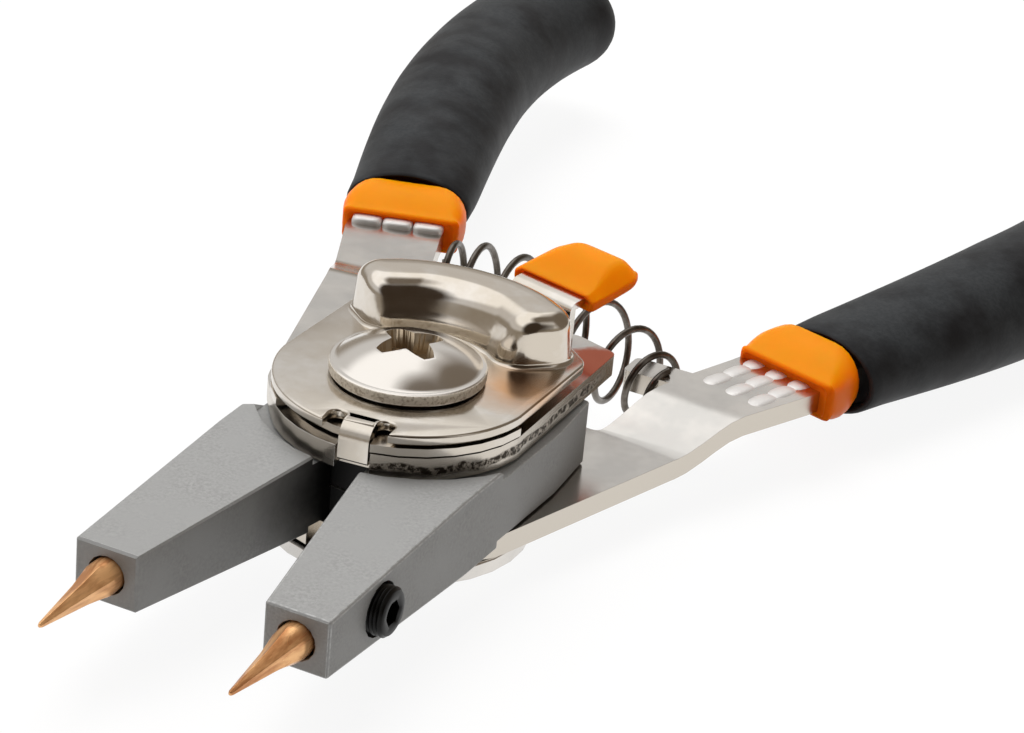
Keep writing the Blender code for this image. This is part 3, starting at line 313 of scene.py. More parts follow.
# Each patch: where it lies, how sharp its edge is, how near a direction has to point to it, its colour
PATCHES = [
    ((0.607, 0.602, 0.52), 5.5, 0.66, RIGHT_WALL),
    ((0.249, 0.057, 0.967), 12.0, 0.89, OVERHEAD),
    ((0.42, -0.72, 0.55), 6.5, 0.72, DARK_SIDE),
]

world = bpy.data.worlds.new("studio")
bpy.context.scene.world = world
tree = emptied(world)
direction = node(tree, "ShaderNodeTexCoord").outputs["Generated"]
_, _, upward = node(tree, "ShaderNodeSeparateXYZ", {0: direction}).outputs
room = ramp(tree, upward, BANDS)
for towards, sharpness, start, color in PATCHES:
    facing = vectors(tree, "DOT_PRODUCT", direction, towards, output="Value")
    room = mixed(tree, step_up(tree, facing, start, 1 / sharpness), room, color)
surround = node(tree, "ShaderNodeBackground", {"Color": room})
node(tree, "ShaderNodeOutputWorld", {"Surface": surround.outputs[0]})
print("dark patches:", len(PATCHES))

# %% [markdown]
# ### Lamps and floor
# A large lamp above makes the soft shadow, and two weak ones lift the sides. They are hidden from
# glossy rays, because a square lamp would show in the dome. The floor is matt paper. Seen by the
# camera, or in metal, most of it is plain white light, so it stays white and keeps a faint shadow.

# %% Lamps and floor
# Each lamp: its name, place, target, width in metres and power in watts
LAMPS = [
    ("ceiling_lamp", (-0.15, 0.30, 0.75), (0, 0.01, 0), 0.50, 6.4),
    ("left_lamp", (-0.65, 0.20, 0.40), (0, 0.03, 0), 0.35, 1.3),
    ("right_lamp", (0.65, 0.10, 0.30), (0, 0.03, 0), 0.30, 0.5),
]
for name, place, target, width, power in LAMPS:
    lamp = bpy.data.lights.new(name, "AREA")
    lamp.size = width
    lamp.energy = power
    holder = bpy.data.objects.new(name, lamp)
    bpy.context.scene.collection.objects.link(holder)
    holder.location = place
    holder.visible_glossy = False
    holder.rotation_euler = (Vector(target) - Vector(place)).to_track_quat("-Z", "Y").to_euler()

FLOOR_SIZE = 6.0
FLOOR_GAP = 0.05 * MM
FLOOR_COLOR = (0.36, 0.355, 0.35)
FLOOR_GLOW = 1.16
SHADOW_SHARE = 0.22
floor_look = bpy.data.materials.new("floor_paper")
tree = emptied(floor_look)
matt = node(tree, "ShaderNodeBsdfDiffuse", {"Color": (*FLOOR_COLOR, 1)}).outputs[0]
glow = node(tree, "ShaderNodeEmission", {"Color": (1, 1, 1, 1), "Strength": FLOOR_GLOW}).outputs[0]
seen = node(tree, "ShaderNodeMixShader", {"Fac": 1 - SHADOW_SHARE, 1: matt, 2: glow}).outputs[0]
rays = node(tree, "ShaderNodeLightPath").outputs
direct = sums(tree, "ADD", rays["Is Camera Ray"], rays["Is Glossy Ray"])
direct = sums(tree, "ADD", direct, rays["Is Transmission Ray"], clamp=True)
choice = node(tree, "ShaderNodeMixShader", {"Fac": direct, 1: matt, 2: seen})
node(tree, "ShaderNodeOutputMaterial", {"Surface": choice.outputs[0]})

shape = bmesh.new()
bmesh.ops.create_grid(shape, x_segments=1, y_segments=1, size=FLOOR_SIZE / 2)
floor = bpy.data.objects.new("floor", mesh_from(shape, "floor"))
floor.location.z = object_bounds()[0][2] - FLOOR_GAP
floor.data.materials.append(floor_look)
bpy.context.scene.collection.objects.link(floor)
print("lamps:", len(LAMPS))

# %% [markdown]
# ## Finishes
# Each finish is one Principled shader with small, slow changes over it. Object coordinates carry the
# patterns, so they stay on a piece when it moves. Scales are counts per metre: 1000 gives grains of
# about a millimetre. Noise is used for all of them, because plate, sinter and foam have no pattern
# that repeats.

# %% A shader with grain
GRAIN_DETAIL = 4.0
GRAIN_ROUGHNESS = 0.6
HAZE_SCALE = 160.0
HAZE_DETAIL = 3.0


def own_place(tree):
    """Where a point lies in its piece's own space, in metres."""
    return node(tree, "ShaderNodeTexCoord").outputs["Object"]


def noise(tree, place, scale, detail=2.0, roughness=0.5):
    """Cloudy noise over a place, about a half on average."""
    inputs = {"Vector": place, "Scale": scale, "Detail": detail, "Roughness": roughness}
    return node(tree, "ShaderNodeTexNoise", inputs).outputs["Fac"]


def remapped(tree, value, low, high, first, last):
    """A value between low and high carried over to between first and last."""
    inputs = {"Value": value, "From Min": low, "From Max": high, "To Min": first, "To Max": last}
    return node(tree, "ShaderNodeMapRange", inputs).outputs["Result"]


def finish(name, color, metallic, roughness, grain=(), bump=(), spread=0.06, stretch=(1, 1, 1), **sockets):
    """A Principled finish, from grains of (scale, darker colour, low, high), which are wholly dark where
    the noise is under low and bare where it is over high, and bumps of (scale, depth in mm)."""
    look = bpy.data.materials.new(name)
    tree = emptied(look)
    place = node(tree, "ShaderNodeMapping", {"Vector": own_place(tree), "Scale": stretch}).outputs[0]
    base = color
    for scale, darker, low, high in grain:
        spots = noise(tree, place, scale, GRAIN_DETAIL, GRAIN_ROUGHNESS)
        base = mixed(tree, remapped(tree, spots, low, high, 1.0, 0.0), base, darker)
    haze = noise(tree, place, HAZE_SCALE, HAZE_DETAIL)
    cloudy = remapped(tree, haze, 0.3, 0.7, roughness - spread, roughness + spread)
    inputs = {"Base Color": base if grain else (*color, 1), "Metallic": metallic, "Roughness": cloudy}
    for scale, depth in bump:
        relief = {"Height": noise(tree, place, scale), "Distance": depth * MM, "Strength": 1.0}
        if "Normal" in inputs:
            relief["Normal"] = inputs["Normal"]
        inputs["Normal"] = node(tree, "ShaderNodeBump", relief).outputs["Normal"]
    shader = node(tree, "ShaderNodeBsdfPrincipled", {**inputs, **sockets})
    node(tree, "ShaderNodeOutputMaterial", {"Surface": shader.outputs[0]})
    return look


# %% [markdown]
# ### Nickel and steel
# Stamped and tumbled steel has a faint orange peel under its plate, and the plate is a little yellower
# in patches. So one nickel is worked in several ways: satin on the cover, brighter on the hump and the
# screw, wavy on the rolled handles. The hidden pins are plain turned steel.

# %% Nickel and steel
NICKEL = (0.75, 0.715, 0.67)
satin_nickel = finish("satin_nickel", NICKEL, 1.0, 0.21,
                      grain=((120, (0.64, 0.585, 0.51), 0.44, 0.70),),
                      bump=((2600, 0.0035), (700, 0.004), (90, 0.035)))
hump_nickel = finish("hump_nickel", (0.75, 0.71, 0.66), 1.0, 0.12, spread=0.04,
                     grain=((120, (0.64, 0.575, 0.49), 0.44, 0.70),),
                     bump=((2600, 0.002), (420, 0.006), (90, 0.05)))
bright_nickel = finish("bright_nickel", (0.74, 0.70, 0.65), 1.0, 0.15, spread=0.04,
                       bump=((2600, 0.002), (500, 0.002), (120, 0.012)))
turned_side = finish("turned_side", (0.80, 0.73, 0.62), 0.4, 0.42,
                     grain=((2400, (0.42, 0.34, 0.25), 0.32, 0.52),), bump=((1800, 0.012),))
recess_nickel = finish("recess_nickel", (0.52, 0.42, 0.30), 1.0, 0.42, bump=((1600, 0.02),))
rolled_nickel = finish("rolled_nickel", NICKEL, 1.0, 0.2,
                       grain=((75, (0.60, 0.58, 0.55), 0.42, 0.66),), bump=((260, 0.018), (50, 0.11)))
rib_nickel = finish("rib_nickel", (0.72, 0.70, 0.68), 0.62, 0.42, bump=((700, 0.004),))
turned_steel = finish("turned_steel", (0.55, 0.54, 0.52), 1.0, 0.3)
spring_wire = finish("spring_wire", (0.19, 0.17, 0.15), 1.0, 0.3,
                     grain=((500, (0.10, 0.085, 0.07), 0.4, 0.6),))

# %% [markdown]
# ### Jaws, points, plastic and foam
# Sintered jaws are matt and grainy, with edges rubbed lighter. The points are coppered and ground
# along their length, so their grain is stretched. The set screws are blacked. The plastic lets some
# light in, which subsurface scattering gives, and the sleeves are closed foam with cloudy patches.

# %% Jaws, points, plastic and foam
jaw_steel = finish("jaw_steel", (0.365, 0.365, 0.36), 0.35, 0.58,
                   grain=((2600, (0.27, 0.27, 0.265), 0.35, 0.65), (160, (0.31, 0.31, 0.305), 0.35, 0.7)),
                   bump=((3200, 0.012),))
jaw_edge = finish("jaw_edge", (0.47, 0.47, 0.465), 0.5, 0.45,
                  grain=((1500, (0.33, 0.33, 0.325), 0.4, 0.6),))
copper = finish("copper", (1.0, 0.57, 0.26), 0.7, 0.3, stretch=(1, 0.12, 1),
                grain=((700, (0.56, 0.24, 0.09), 0.38, 0.6),), bump=((1400, 0.01),))
black_oxide = finish("black_oxide", (0.004, 0.0035, 0.003), 0.0, 0.34, bump=((900, 0.01),),
                     **{"Specular IOR Level": 0.16})
orange_plastic = finish("orange_plastic", (0.64, 0.202, 0.0003), 0.0, 0.40,
                        grain=((220, (0.60, 0.20, 0.0003), 0.35, 0.65),), bump=((900, 0.003),),
                        **{"Specular IOR Level": 0.08, "Subsurface Weight": 0.35,
                           "Subsurface Scale": 3 * MM, "Subsurface Radius": (1.0, 0.25, 0.05)})
foam = finish("foam", (0.025, 0.027, 0.029), 0.0, 0.6,
              grain=((1800, (0.018, 0.020, 0.022), 0.4, 0.6), (70, (0.006, 0.006, 0.007), 0.38, 0.56)),
              bump=((2600, 0.02), (500, 0.03)), **{"Specular IOR Level": 0.3})
print("finishes:", len(bpy.data.materials))

# %% [markdown]
# ### Painted reflections and shade
# Polished plates also catch the colour of what stands beside them, such as the cap's orange, and the
# jaws lie in shade where they meet in the middle. Both are painted in: a soft spot round a place in the
# finish gives a painted reflection or painted shade, and it stays when the lever moves. The plastic's
# sides are painted a redder orange, as painted shade for the light that soaks through thin plastic.

# %% Painted reflections and shade
TINT_WANDER = 2.5 * MM
# Painted shade: faces that turn away from straight up get a redder orange
SIDE_END = 0.96875
SIDE_FADE = 0.625
PAINTED_SIDE_ORANGE = (1.0, 0.175, 0.0003)


def shader_of(look):
    return next(part for part in look.node_tree.nodes if part.type == "BSDF_PRINCIPLED")


def recolored(look, share, tint):
    """Let a finish give way to another colour, by a share worked out in its tree."""
    base = shader_of(look).inputs["Base Color"]
    before = base.links[0].from_socket if base.links else tuple(base.default_value[:3])
    look.node_tree.links.new(mixed(look.node_tree, share, before, tint), base)


def with_painted_spot(name, look, centre, reach, tint, fade):
    """A copy of a finish with a soft, ragged spot of painted reflection or shade round a place."""
    copy = look.copy()
    copy.name = name
    tree = copy.node_tree
    place = own_place(tree)
    distance = vectors(tree, "DISTANCE", place, centre, output="Value")
    ragged = sums(tree, "MULTIPLY_ADD", noise(tree, place, 700.0, 3.0), TINT_WANDER, distance)
    recolored(copy, step_up(tree, ragged, reach, -fade), tint)
    return copy


# Painted shade: the plastic's sides are painted redder, for the red glow of light soaking through it
tree = orange_plastic.node_tree
facing = node(tree, "ShaderNodeTexCoord").outputs["Normal"]
_, _, upward = node(tree, "ShaderNodeSeparateXYZ", {0: facing}).outputs
recolored(orange_plastic, step_up(tree, upward, SIDE_END, -SIDE_FADE), PAINTED_SIDE_ORANGE)

# %% [markdown]
# ## The stack at the pivot
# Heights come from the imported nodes, so the new pieces lie exactly where the old ones do.

# %% Heights
def foot_of(node_name):
    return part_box(node_name)[0][2]


def top_of(node_name):
    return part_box(node_name)[1][2]


SCREW_SEAT = 0.3 * MM
COVER_THICKNESS = 1.3 * MM
PACKED_HUMP = 6.1 * MM
COVER_TOP = top_of("cover_plate") - PACKED_HUMP
COVER_LOW = COVER_TOP - COVER_THICKNESS
MIDDLE = (top_of("upper_handle") + foot_of("lower_handle")) / 2
print(f"cover top {COVER_TOP / MM:.2f} mm, middle {MIDDLE / MM:.2f} mm")

# %% [markdown]
# ### Pivot screw
# A turned head: a thin flange with soft edges and a low dome. Anything turned is a stack of circles,
# so it is lofted from them, closely on the dome, where the reflections would show each step.

# %% Pivot screw
HEAD_RADIUS = 9.5 * MM
HEAD_POINTS = 96
FLANGE_HEIGHT = 1.6 * MM
FLANGE_EDGE = 0.35 * MM
FLANGE_SIDE = 0.3 * MM
FLANGE_STEEP = 0.5
DOME_HEIGHT = 2.7 * MM
DOME_STEP = 0.25 * MM
DOME_RINGS = 18
SHANK_RADIUS = 4.0 * MM

seat = COVER_TOP + SCREW_SEAT
flange_top = seat + FLANGE_HEIGHT
dome_top = flange_top + DOME_HEIGHT
rim = HEAD_RADIUS - FLANGE_EDGE - DOME_STEP
dome_radius = (rim ** 2 + DOME_HEIGHT ** 2) / (2 * DOME_HEIGHT)
dome_angle = math.asin(rim / dome_radius)
profile = []
for ring in range(1, DOME_RINGS + 1):
    angle = dome_angle * ring / DOME_RINGS
    profile.append((dome_radius * math.sin(angle), dome_top - dome_radius * (1 - math.cos(angle))))
for first, level in ((90, flange_top - FLANGE_EDGE), (0, seat + FLANGE_EDGE)):
    for corner in range(first, first - 91, -30):
        turn = polar(FLANGE_EDGE, corner)
        profile.append((HEAD_RADIUS - FLANGE_EDGE + turn.x, level + turn.y))
profile += [(SHANK_RADIUS, seat), (SHANK_RADIUS, foot_of("pivot_screw"))]
circles = [[Vector((*polar(radius, 360 * i / HEAD_POINTS), level)) for i in range(HEAD_POINTS)]
           for radius, level in profile]
head = add("pivot_screw_head", loft("pivot_screw_head", circles), bright_nickel)
print(f"dome radius {dome_radius / MM:.1f} mm")

# %% [markdown]
# The recess has four blunt arms with hollow sides and narrows a little as it goes down. It was punched
# into the head, so it is cut out here too, with a star that brings its own rougher finish along.

# %% The screw's recess
RECESS_TURN = 60.0
RECESS_BLUNT = 9.0
RECESS_TIP = 4.6 * MM
RECESS_WAIST = 2.4 * MM
RECESS_DEPTH = 2.9 * MM
RECESS_NARROWING = 0.86
STAR_POINTS = 120


def star_radius(degrees):
    """Blunt arms with hollow sides between them."""
    aside = abs((degrees - RECESS_TURN + 45) % 90 - 45)
    if aside < RECESS_BLUNT:
        return RECESS_TIP
    share = (45 - aside) / (45 - RECESS_BLUNT)
    return RECESS_WAIST + (RECESS_TIP - RECESS_WAIST) * share ** 1.5


star_angles = [360 / STAR_POINTS * number for number in range(STAR_POINTS)]
star = [polar(star_radius(degrees), degrees) for degrees in star_angles]
star_rings = [[Vector((*(point * share), level)) for point in star]
              for share, level in ((RECESS_NARROWING, dome_top - RECESS_DEPTH), (1.0, dome_top + MM))]
cutter = add("star_cutter", loft("star_cutter", star_rings), recess_nickel)
recess = head.modifiers.new("recess", "BOOLEAN")
recess.object = cutter
recess.solver = "EXACT"
recess.material_mode = "TRANSFER"
finished(head)
bpy.data.objects.remove(cutter)
soft_edges(head, 0.1 * MM, 2)
head.data.materials.append(turned_side)
for face in head.data.polygons:
    if abs(face.normal.z) < FLANGE_STEEP and face.center.xy.length > HEAD_RADIUS - FLANGE_SIDE:
        face.material_index = len(head.data.materials) - 1
settle(head, "pivot", "nickel_plate", "pivot_screw")

# %% [markdown]
# ### Cover plate
# One pressing: a flat with straight sides and a round front, a tab bent down between two reliefs,
# and a kidney-shaped hump behind. A filled curve with a bevel makes the flat, because it rounds the
# rim of any outline evenly, as stamping does.

# %% The cover's flat
COVER_FRONT_RADIUS = 16.2 * MM
COVER_HALF_WIDTH = 16.1 * MM
COVER_REAR_RADIUS = 22.8 * MM
COVER_CORNER = 3.0 * MM
COVER_CORNER_TURN = 9.0
COVER_RIM = 0.32 * MM
TAB_ANGLE = -84.2
TAB_WIDTH = 3.8 * MM
TAB_OUTER_RADIUS = 15.9 * MM
TAB_DEPTH = 4.7 * MM
TAB_BEND = 0.9 * MM
TAB_CHAMFER = 0.3 * MM
RELIEF_WIDTH = 2.2 * MM
RELIEF_DEPTH = 3.5 * MM
BORE_RADIUS = 4.3 * MM


def beside_tab(radius, across):
    """A place given by how far out it lies along the tab's line and how far beside it."""
    return Matrix.Rotation(math.radians(TAB_ANGLE), 2) @ Vector((radius, across))


def cover_outline():
    """The flat from above: a round front with a relief on each side of the tab, and a wider rear."""
    side = math.degrees(math.acos(COVER_HALF_WIDTH / COVER_FRONT_RADIUS))
    notch = RELIEF_WIDTH / 2
    middle = TAB_WIDTH / 2 + notch
    bottom = COVER_FRONT_RADIUS - RELIEF_DEPTH + notch
    edge = math.degrees(math.asin((TAB_WIDTH / 2 + RELIEF_WIDTH) / COVER_FRONT_RADIUS))
    root = TAB_OUTER_RADIUS - COVER_THICKNESS
    right = [beside_tab(bottom - p.y, middle + p.x) for p in arc(notch, 0, 180, step=12)]
    left = [beside_tab(bottom - p.y, p.x - middle) for p in arc(notch, 0, 180, step=12)]
    front = arc(COVER_FRONT_RADIUS, side - 180, TAB_ANGLE - edge)
    front += left[::-1] + [beside_tab(root, -TAB_WIDTH / 2), beside_tab(root, TAB_WIDTH / 2)] + right[::-1]
    front += arc(COVER_FRONT_RADIUS, TAB_ANGLE + edge, -side)
    corner_y = math.sqrt(COVER_REAR_RADIUS ** 2 - COVER_HALF_WIDTH ** 2)
    turn = math.degrees(math.atan2(corner_y, COVER_HALF_WIDTH)) + COVER_CORNER_TURN
    corners = [(point, 0) for point in front]
    corners.append((Vector((COVER_HALF_WIDTH, corner_y)), COVER_CORNER))
    corners += [(point, 0) for point in arc(COVER_REAR_RADIUS, turn, 180 - turn)]
    corners.append((Vector((-COVER_HALF_WIDTH, corner_y)), COVER_CORNER))
    return rounded(corners)


def plate(name, outlines, low, high, rim):
    """A filled outline with holes, whose edges are rounded by the rim."""
    curve = bpy.data.curves.new(name, "CURVE")
    curve.dimensions = "2D"
    curve.fill_mode = "BOTH"
    curve.extrude = (high - low) / 2 - rim
    curve.bevel_depth = rim
    curve.bevel_resolution = 2
    curve.offset = -rim
    for outline in outlines:
        spline = curve.splines.new("POLY")
        spline.points.add(len(outline) - 1)
        for point, (x, y) in zip(spline.points, outline):
            point.co = (x, y, 0, 1)
        spline.use_cyclic_u = True
    holder = bpy.data.objects.new(name, curve)
    bpy.context.scene.collection.objects.link(holder)
    bpy.context.view_layer.update()
    graph = bpy.context.evaluated_depsgraph_get()
    mesh = bpy.data.meshes.new_from_object(holder.evaluated_get(graph))
    bpy.data.objects.remove(holder)
    mesh.transform(Matrix.Translation((0, 0, (low + high) / 2)))
    return cleaned(mesh)


bore = arc(BORE_RADIUS, 0, 360)[:-1]
flat = plate("cover_flat", [cover_outline(), bore], COVER_LOW, COVER_TOP, COVER_RIM)
print(f"cover flat: {len(flat.polygons)} faces")

# %% [markdown]
# The tab is a strip of the same sheet. Its side view runs out, round a quarter turn and down to a
# small chamfer. Four copies of that side view, side by side, are the rings of its loft.

# %% The cover's tab
# Where the tab's rings lie, in shares of its width from the middle
TAB_SHARES = (-0.5, -0.44, 0.44, 0.5)


def tab_strip():
    """The tab, from its side view as (distance from the axis, height) pairs."""
    inner = TAB_OUTER_RADIUS - COVER_THICKNESS
    foot = COVER_TOP - TAB_DEPTH
    line = [(inner - 2 * TAB_BEND, COVER_TOP), (inner - TAB_BEND, COVER_TOP)]
    for step in range(7):
        turn = polar(COVER_THICKNESS + TAB_BEND, 90 - 15 * step)
        line.append((inner - TAB_BEND + turn.x, COVER_LOW - TAB_BEND + turn.y))
    line += [(TAB_OUTER_RADIUS, foot + TAB_CHAMFER), (TAB_OUTER_RADIUS - TAB_CHAMFER, foot), (inner, foot)]
    for step in range(4):
        turn = polar(TAB_BEND, 30 * step)
        line.append((inner - TAB_BEND + turn.x, COVER_LOW - TAB_BEND + turn.y))
    line.append((inner - 2 * TAB_BEND, COVER_LOW))
    return loft("tab", [[Vector((*beside_tab(radius, TAB_WIDTH * share), level)) for radius, level in line]
                        for share in TAB_SHARES])


# %% [markdown]
# The hump is drawn up out of the sheet, so it is a loft of kidney outlines that shrink as they rise:
# a fillet at the plate, a wall that leans back in front, and a round shoulder. Outlines from one
# function stay parallel all the way up, which a bevelled block would not.

# %% The cover's hump
HUMP_RADIUS = 17.2 * MM
HUMP_HALF_WIDTH = 4.6 * MM
HUMP_ANGLE = 91.5
HUMP_HALF_ANGLE = 35.0
HUMP_END = 4.2 * MM
HUMP_CORNER = 3.6 * MM
HUMP_LEAST_CORNER = 0.15 * MM
HUMP_HEIGHT = 6.5 * MM
HUMP_ROUND = 2.2 * MM
HUMP_FILLET = 0.7 * MM
HUMP_SINK = 0.05 * MM
HUMP_DRAFT = 0.35 * MM
HUMP_STEP = 0.5 * MM
HUMP_LEAN = 1.1 * MM
HUMP_CROWN = 0.15 * MM
OUTER_SKIP = 13
INNER_SKIP = 22
FILLET_STEPS = 6
SHOULDER_STEPS = 12


def kidney(grow, front):
    """The hump's foot, grown or shrunk behind and in front: a bent rectangle with round corners."""
    outer = HUMP_RADIUS + HUMP_HALF_WIDTH + grow
    inner = HUMP_RADIUS - HUMP_HALF_WIDTH - front
    reach = HUMP_HALF_ANGLE + math.degrees((HUMP_END + grow) / HUMP_RADIUS)
    first, last = HUMP_ANGLE - reach, HUMP_ANGLE + reach
    corner = max(HUMP_CORNER + grow, HUMP_LEAST_CORNER)
    corners = [(polar(outer, first), corner)]
    corners += [(point, 0) for point in arc(outer, first + OUTER_SKIP, last - OUTER_SKIP, count=24)]
    corners += [(polar(outer, last), corner), (polar(inner, last), corner)]
    corners += [(point, 0) for point in arc(inner, last - INNER_SKIP, first + INNER_SKIP, count=18)]
    corners.append((polar(inner, first), corner))
    return rounded(corners, count=8)


def hump_rings():
    """Outlines from the fillet at the plate, up the leaning wall and over the round shoulder."""
    places = []
    for step in range(FILLET_STEPS + 1):
        angle = math.pi / 2 * step / FILLET_STEPS
        out = HUMP_FILLET * (1 - math.sin(angle))
        places.append((out, out + HUMP_STEP, HUMP_FILLET * (1 - math.cos(angle)) - HUMP_SINK))
    shoulder = HUMP_HEIGHT - HUMP_CROWN - HUMP_ROUND
    lean = math.atan2(HUMP_LEAN, shoulder - HUMP_FILLET)
    for step in range(SHOULDER_STEPS + 1):
        angle = math.pi / 2 * step / SHOULDER_STEPS
        inset = HUMP_DRAFT + HUMP_ROUND * (1 - math.cos(angle))
        turn = lean + (math.pi / 2 - lean) * step / SHOULDER_STEPS
        over = (math.cos(lean) - math.cos(turn)) / (1 - math.sin(lean))
        front = HUMP_STEP - HUMP_LEAN - HUMP_ROUND * over
        places.append((-inset, front, shoulder + HUMP_ROUND * math.sin(angle)))
    last_out, last_front, _ = places[-1]
    for inset, share in ((0.6 * MM, 0.6), (1.1 * MM, 0.5)):
        places.append((last_out - inset, last_front - inset, HUMP_HEIGHT - share * HUMP_CROWN))
    return [[Vector((*point, COVER_TOP + rise)) for point in kidney(grow, front)]
            for grow, front, rise in places]


# %% [markdown]
# The flat, the hump and the tab come out of one press stroke, so they become one mesh. What stands
# above the flat is polished brighter. The flat's right side has a soft warm spot, a painted reflection
# of the warm colour beside it.

# %% The whole cover
# Painted reflection: a warm spot on the flat, where polished nickel shows the colour beside it
COVER_REFLECTION_SPOT = (12.8 * MM, 4.5 * MM, COVER_TOP)
COVER_REFLECTION_TINT = (0.70, 0.43, 0.25)
POLISHED_FROM = 0.15 * MM
cover_nickel = with_painted_spot("cover_nickel", satin_nickel, COVER_REFLECTION_SPOT, 9 * MM, COVER_REFLECTION_TINT, 6 * MM)
shape = bmesh.new()
for mesh in (flat, loft("hump", hump_rings()), tab_strip()):
    shape.from_mesh(mesh)
cover = add("cover_pressing", mesh_from(shape, "cover_pressing"), cover_nickel, hump_nickel)
for face in cover.data.polygons:
    face.material_index = int(face.center.z > COVER_TOP + POLISHED_FROM)
settle(cover, "upper_arm", "nickel_plate", "cover_plate")

# %% [markdown]
# ### Shift lever and plates
# These stamped pieces are right as packed, so they are refined copies: the edges are rounded and the
# finish put on. Only the lever's tongue is raised a little. The hidden bush, pins, post and small
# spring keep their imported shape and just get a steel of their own.

# %% Refined stampings
TONGUE_REACH = 33.0 * MM
TONGUE_RISE = 1.5 * MM
lever_mesh = copy_of("shift_lever")
for corner in lever_mesh.vertices:
    if corner.co.xy.length > TONGUE_REACH:
        corner.co.z += TONGUE_RISE
lever = soft_edges(add("shift_lever_stamping", lever_mesh, satin_nickel), 0.15 * MM)
settle(lever, "shift_lever_set", "nickel_plate", "shift_lever")

for node_name, name, look, edge in (("bottom_plate", "bottom_washer", rolled_nickel, 0.3 * MM),
                                    ("pivot_nut", "pivot_nut_turned", bright_nickel, 0.15 * MM)):
    under = soft_edges(add(name, copy_of(node_name), look), edge)
    settle(under, "pivot", "nickel_plate", node_name)

HIDDEN = {"pivot_bush": turned_steel, "detent_post": turned_steel, "detent_spring": spring_wire,
          "left_drive_pin": turned_steel, "right_drive_pin": turned_steel}
for node_name, look in HIDDEN.items():
    NODES[node_name].data.materials.clear()
    NODES[node_name].data.materials.append(look)

# %% [markdown]
# ## Handles
# Two equal stampings, one turned over. Their top is smooth where it was rolled, and their edge is
# sheared, which leaves three bands: a smooth one where the punch entered, a torn one, and a smooth one
# again. The bands lie at fixed heights, so the height in the piece's own space picks them.

# %% The sheared edge
EDGE_NICKEL = (0.62, 0.57, 0.50)
TORN_LOW = -0.75 * MM
TORN_HIGH = 0.55 * MM
TORN_BLEND = 0.25 * MM
TORN_WANDER = 1.6 * MM
TORN_FADE = 4 * MM
TORN_ROUGHNESS = 0.25
SMOOTH_ROUGHNESS = 0.26
PIT_DEPTH = 0.08 * MM
GRIT = [(0.0, (0.02, 0.016, 0.012)), (0.47, (0.05, 0.04, 0.03)), (0.56, (0.40, 0.36, 0.31)),
        (1.0, (0.95, 0.88, 0.78))]


def sheared_edge(name, middle, flat_end):
    """A nickel edge whose middle band is torn, dark and specked, on the right side of the flat part."""
    look = finish(name, EDGE_NICKEL, 1.0, 0.28, bump=((300, 0.02),))
    tree = look.node_tree
    shader = shader_of(look)
    place = own_place(tree)
    x, y, z = node(tree, "ShaderNodeSeparateXYZ", {0: place}).outputs
    level = sums(tree, "MULTIPLY_ADD", noise(tree, place, 240.0), TORN_WANDER, z)
    level = sums(tree, "SUBTRACT", level, middle + TORN_WANDER / 2)
    torn = sums(tree, "MULTIPLY", step_up(tree, level, TORN_LOW, TORN_BLEND),
                step_up(tree, level, TORN_HIGH, -TORN_BLEND))
    torn = sums(tree, "MULTIPLY", torn, step_up(tree, y, flat_end, -TORN_FADE))
    torn = sums(tree, "MULTIPLY", torn, step_up(tree, x, -TORN_FADE / 2, TORN_FADE))
    specks = noise(tree, place, 1500.0, 3.0, 0.7)
    recolored(look, torn, ramp(tree, specks, GRIT))
    rough = sums(tree, "MULTIPLY_ADD", torn, TORN_ROUGHNESS, SMOOTH_ROUGHNESS)
    tree.links.new(rough, shader.inputs["Roughness"])
    pits = node(tree, "ShaderNodeBump", {"Height": specks, "Distance": PIT_DEPTH, "Strength": torn,
                                         "Normal": shader.inputs["Normal"].links[0].from_socket})
    tree.links.new(pits.outputs["Normal"], shader.inputs["Normal"])
    return look


# %% [markdown]
# The solids already have the bends, the ear and the lug, so the handles are refined copies. Faces
# that stand upright get the sheared finish, and the rounded strip keeps the rolled one.

# %% Handles
HANDLE_LEAN = math.radians(17.5)
FLAT_END = 24 * MM
# Painted reflection: a red-orange spot on the upper handle's ear, for the lever's orange cap beside it
EAR_REFLECTION_SPOT = (15.2 * MM, 22.6 * MM, 19.5 * MM)
EAR_REFLECTION_TINT = (0.42, 0.085, 0.03)
UPRIGHT = 0.3
ear_nickel_painted_reflection = with_painted_spot("ear_nickel_painted_reflection", rolled_nickel, EAR_REFLECTION_SPOT, 6.6 * MM, EAR_REFLECTION_TINT, 1.6 * MM)

for name, body, top_look, middle, flat_end in (("upper", "upper_arm", ear_nickel_painted_reflection, 18.1 * MM, FLAT_END),
                                               ("lower", "lower_arm", rolled_nickel, 6.5 * MM, -FLAT_END)):
    handle = add(f"{name}_handle_stamping", copy_of(f"{name}_handle"), top_look,
                 sheared_edge(f"{name}_sheared_edge", middle, flat_end))
    for face in handle.data.polygons:
        face.material_index = int(abs(face.normal.z) < UPRIGHT)
    soft_edges(handle, 0.3 * MM, worn_slot=0)
    settle(handle, body, "nickel_plate", f"{name}_handle")

# %% [markdown]
# ## Jaws, points and set screws
# The jaws are sintered blocks: matt faces, straight edges rubbed lighter. Refined copies of the solids
# keep their laps and bores. The faces that look at each other get painted shade, darker towards
# the pivot.

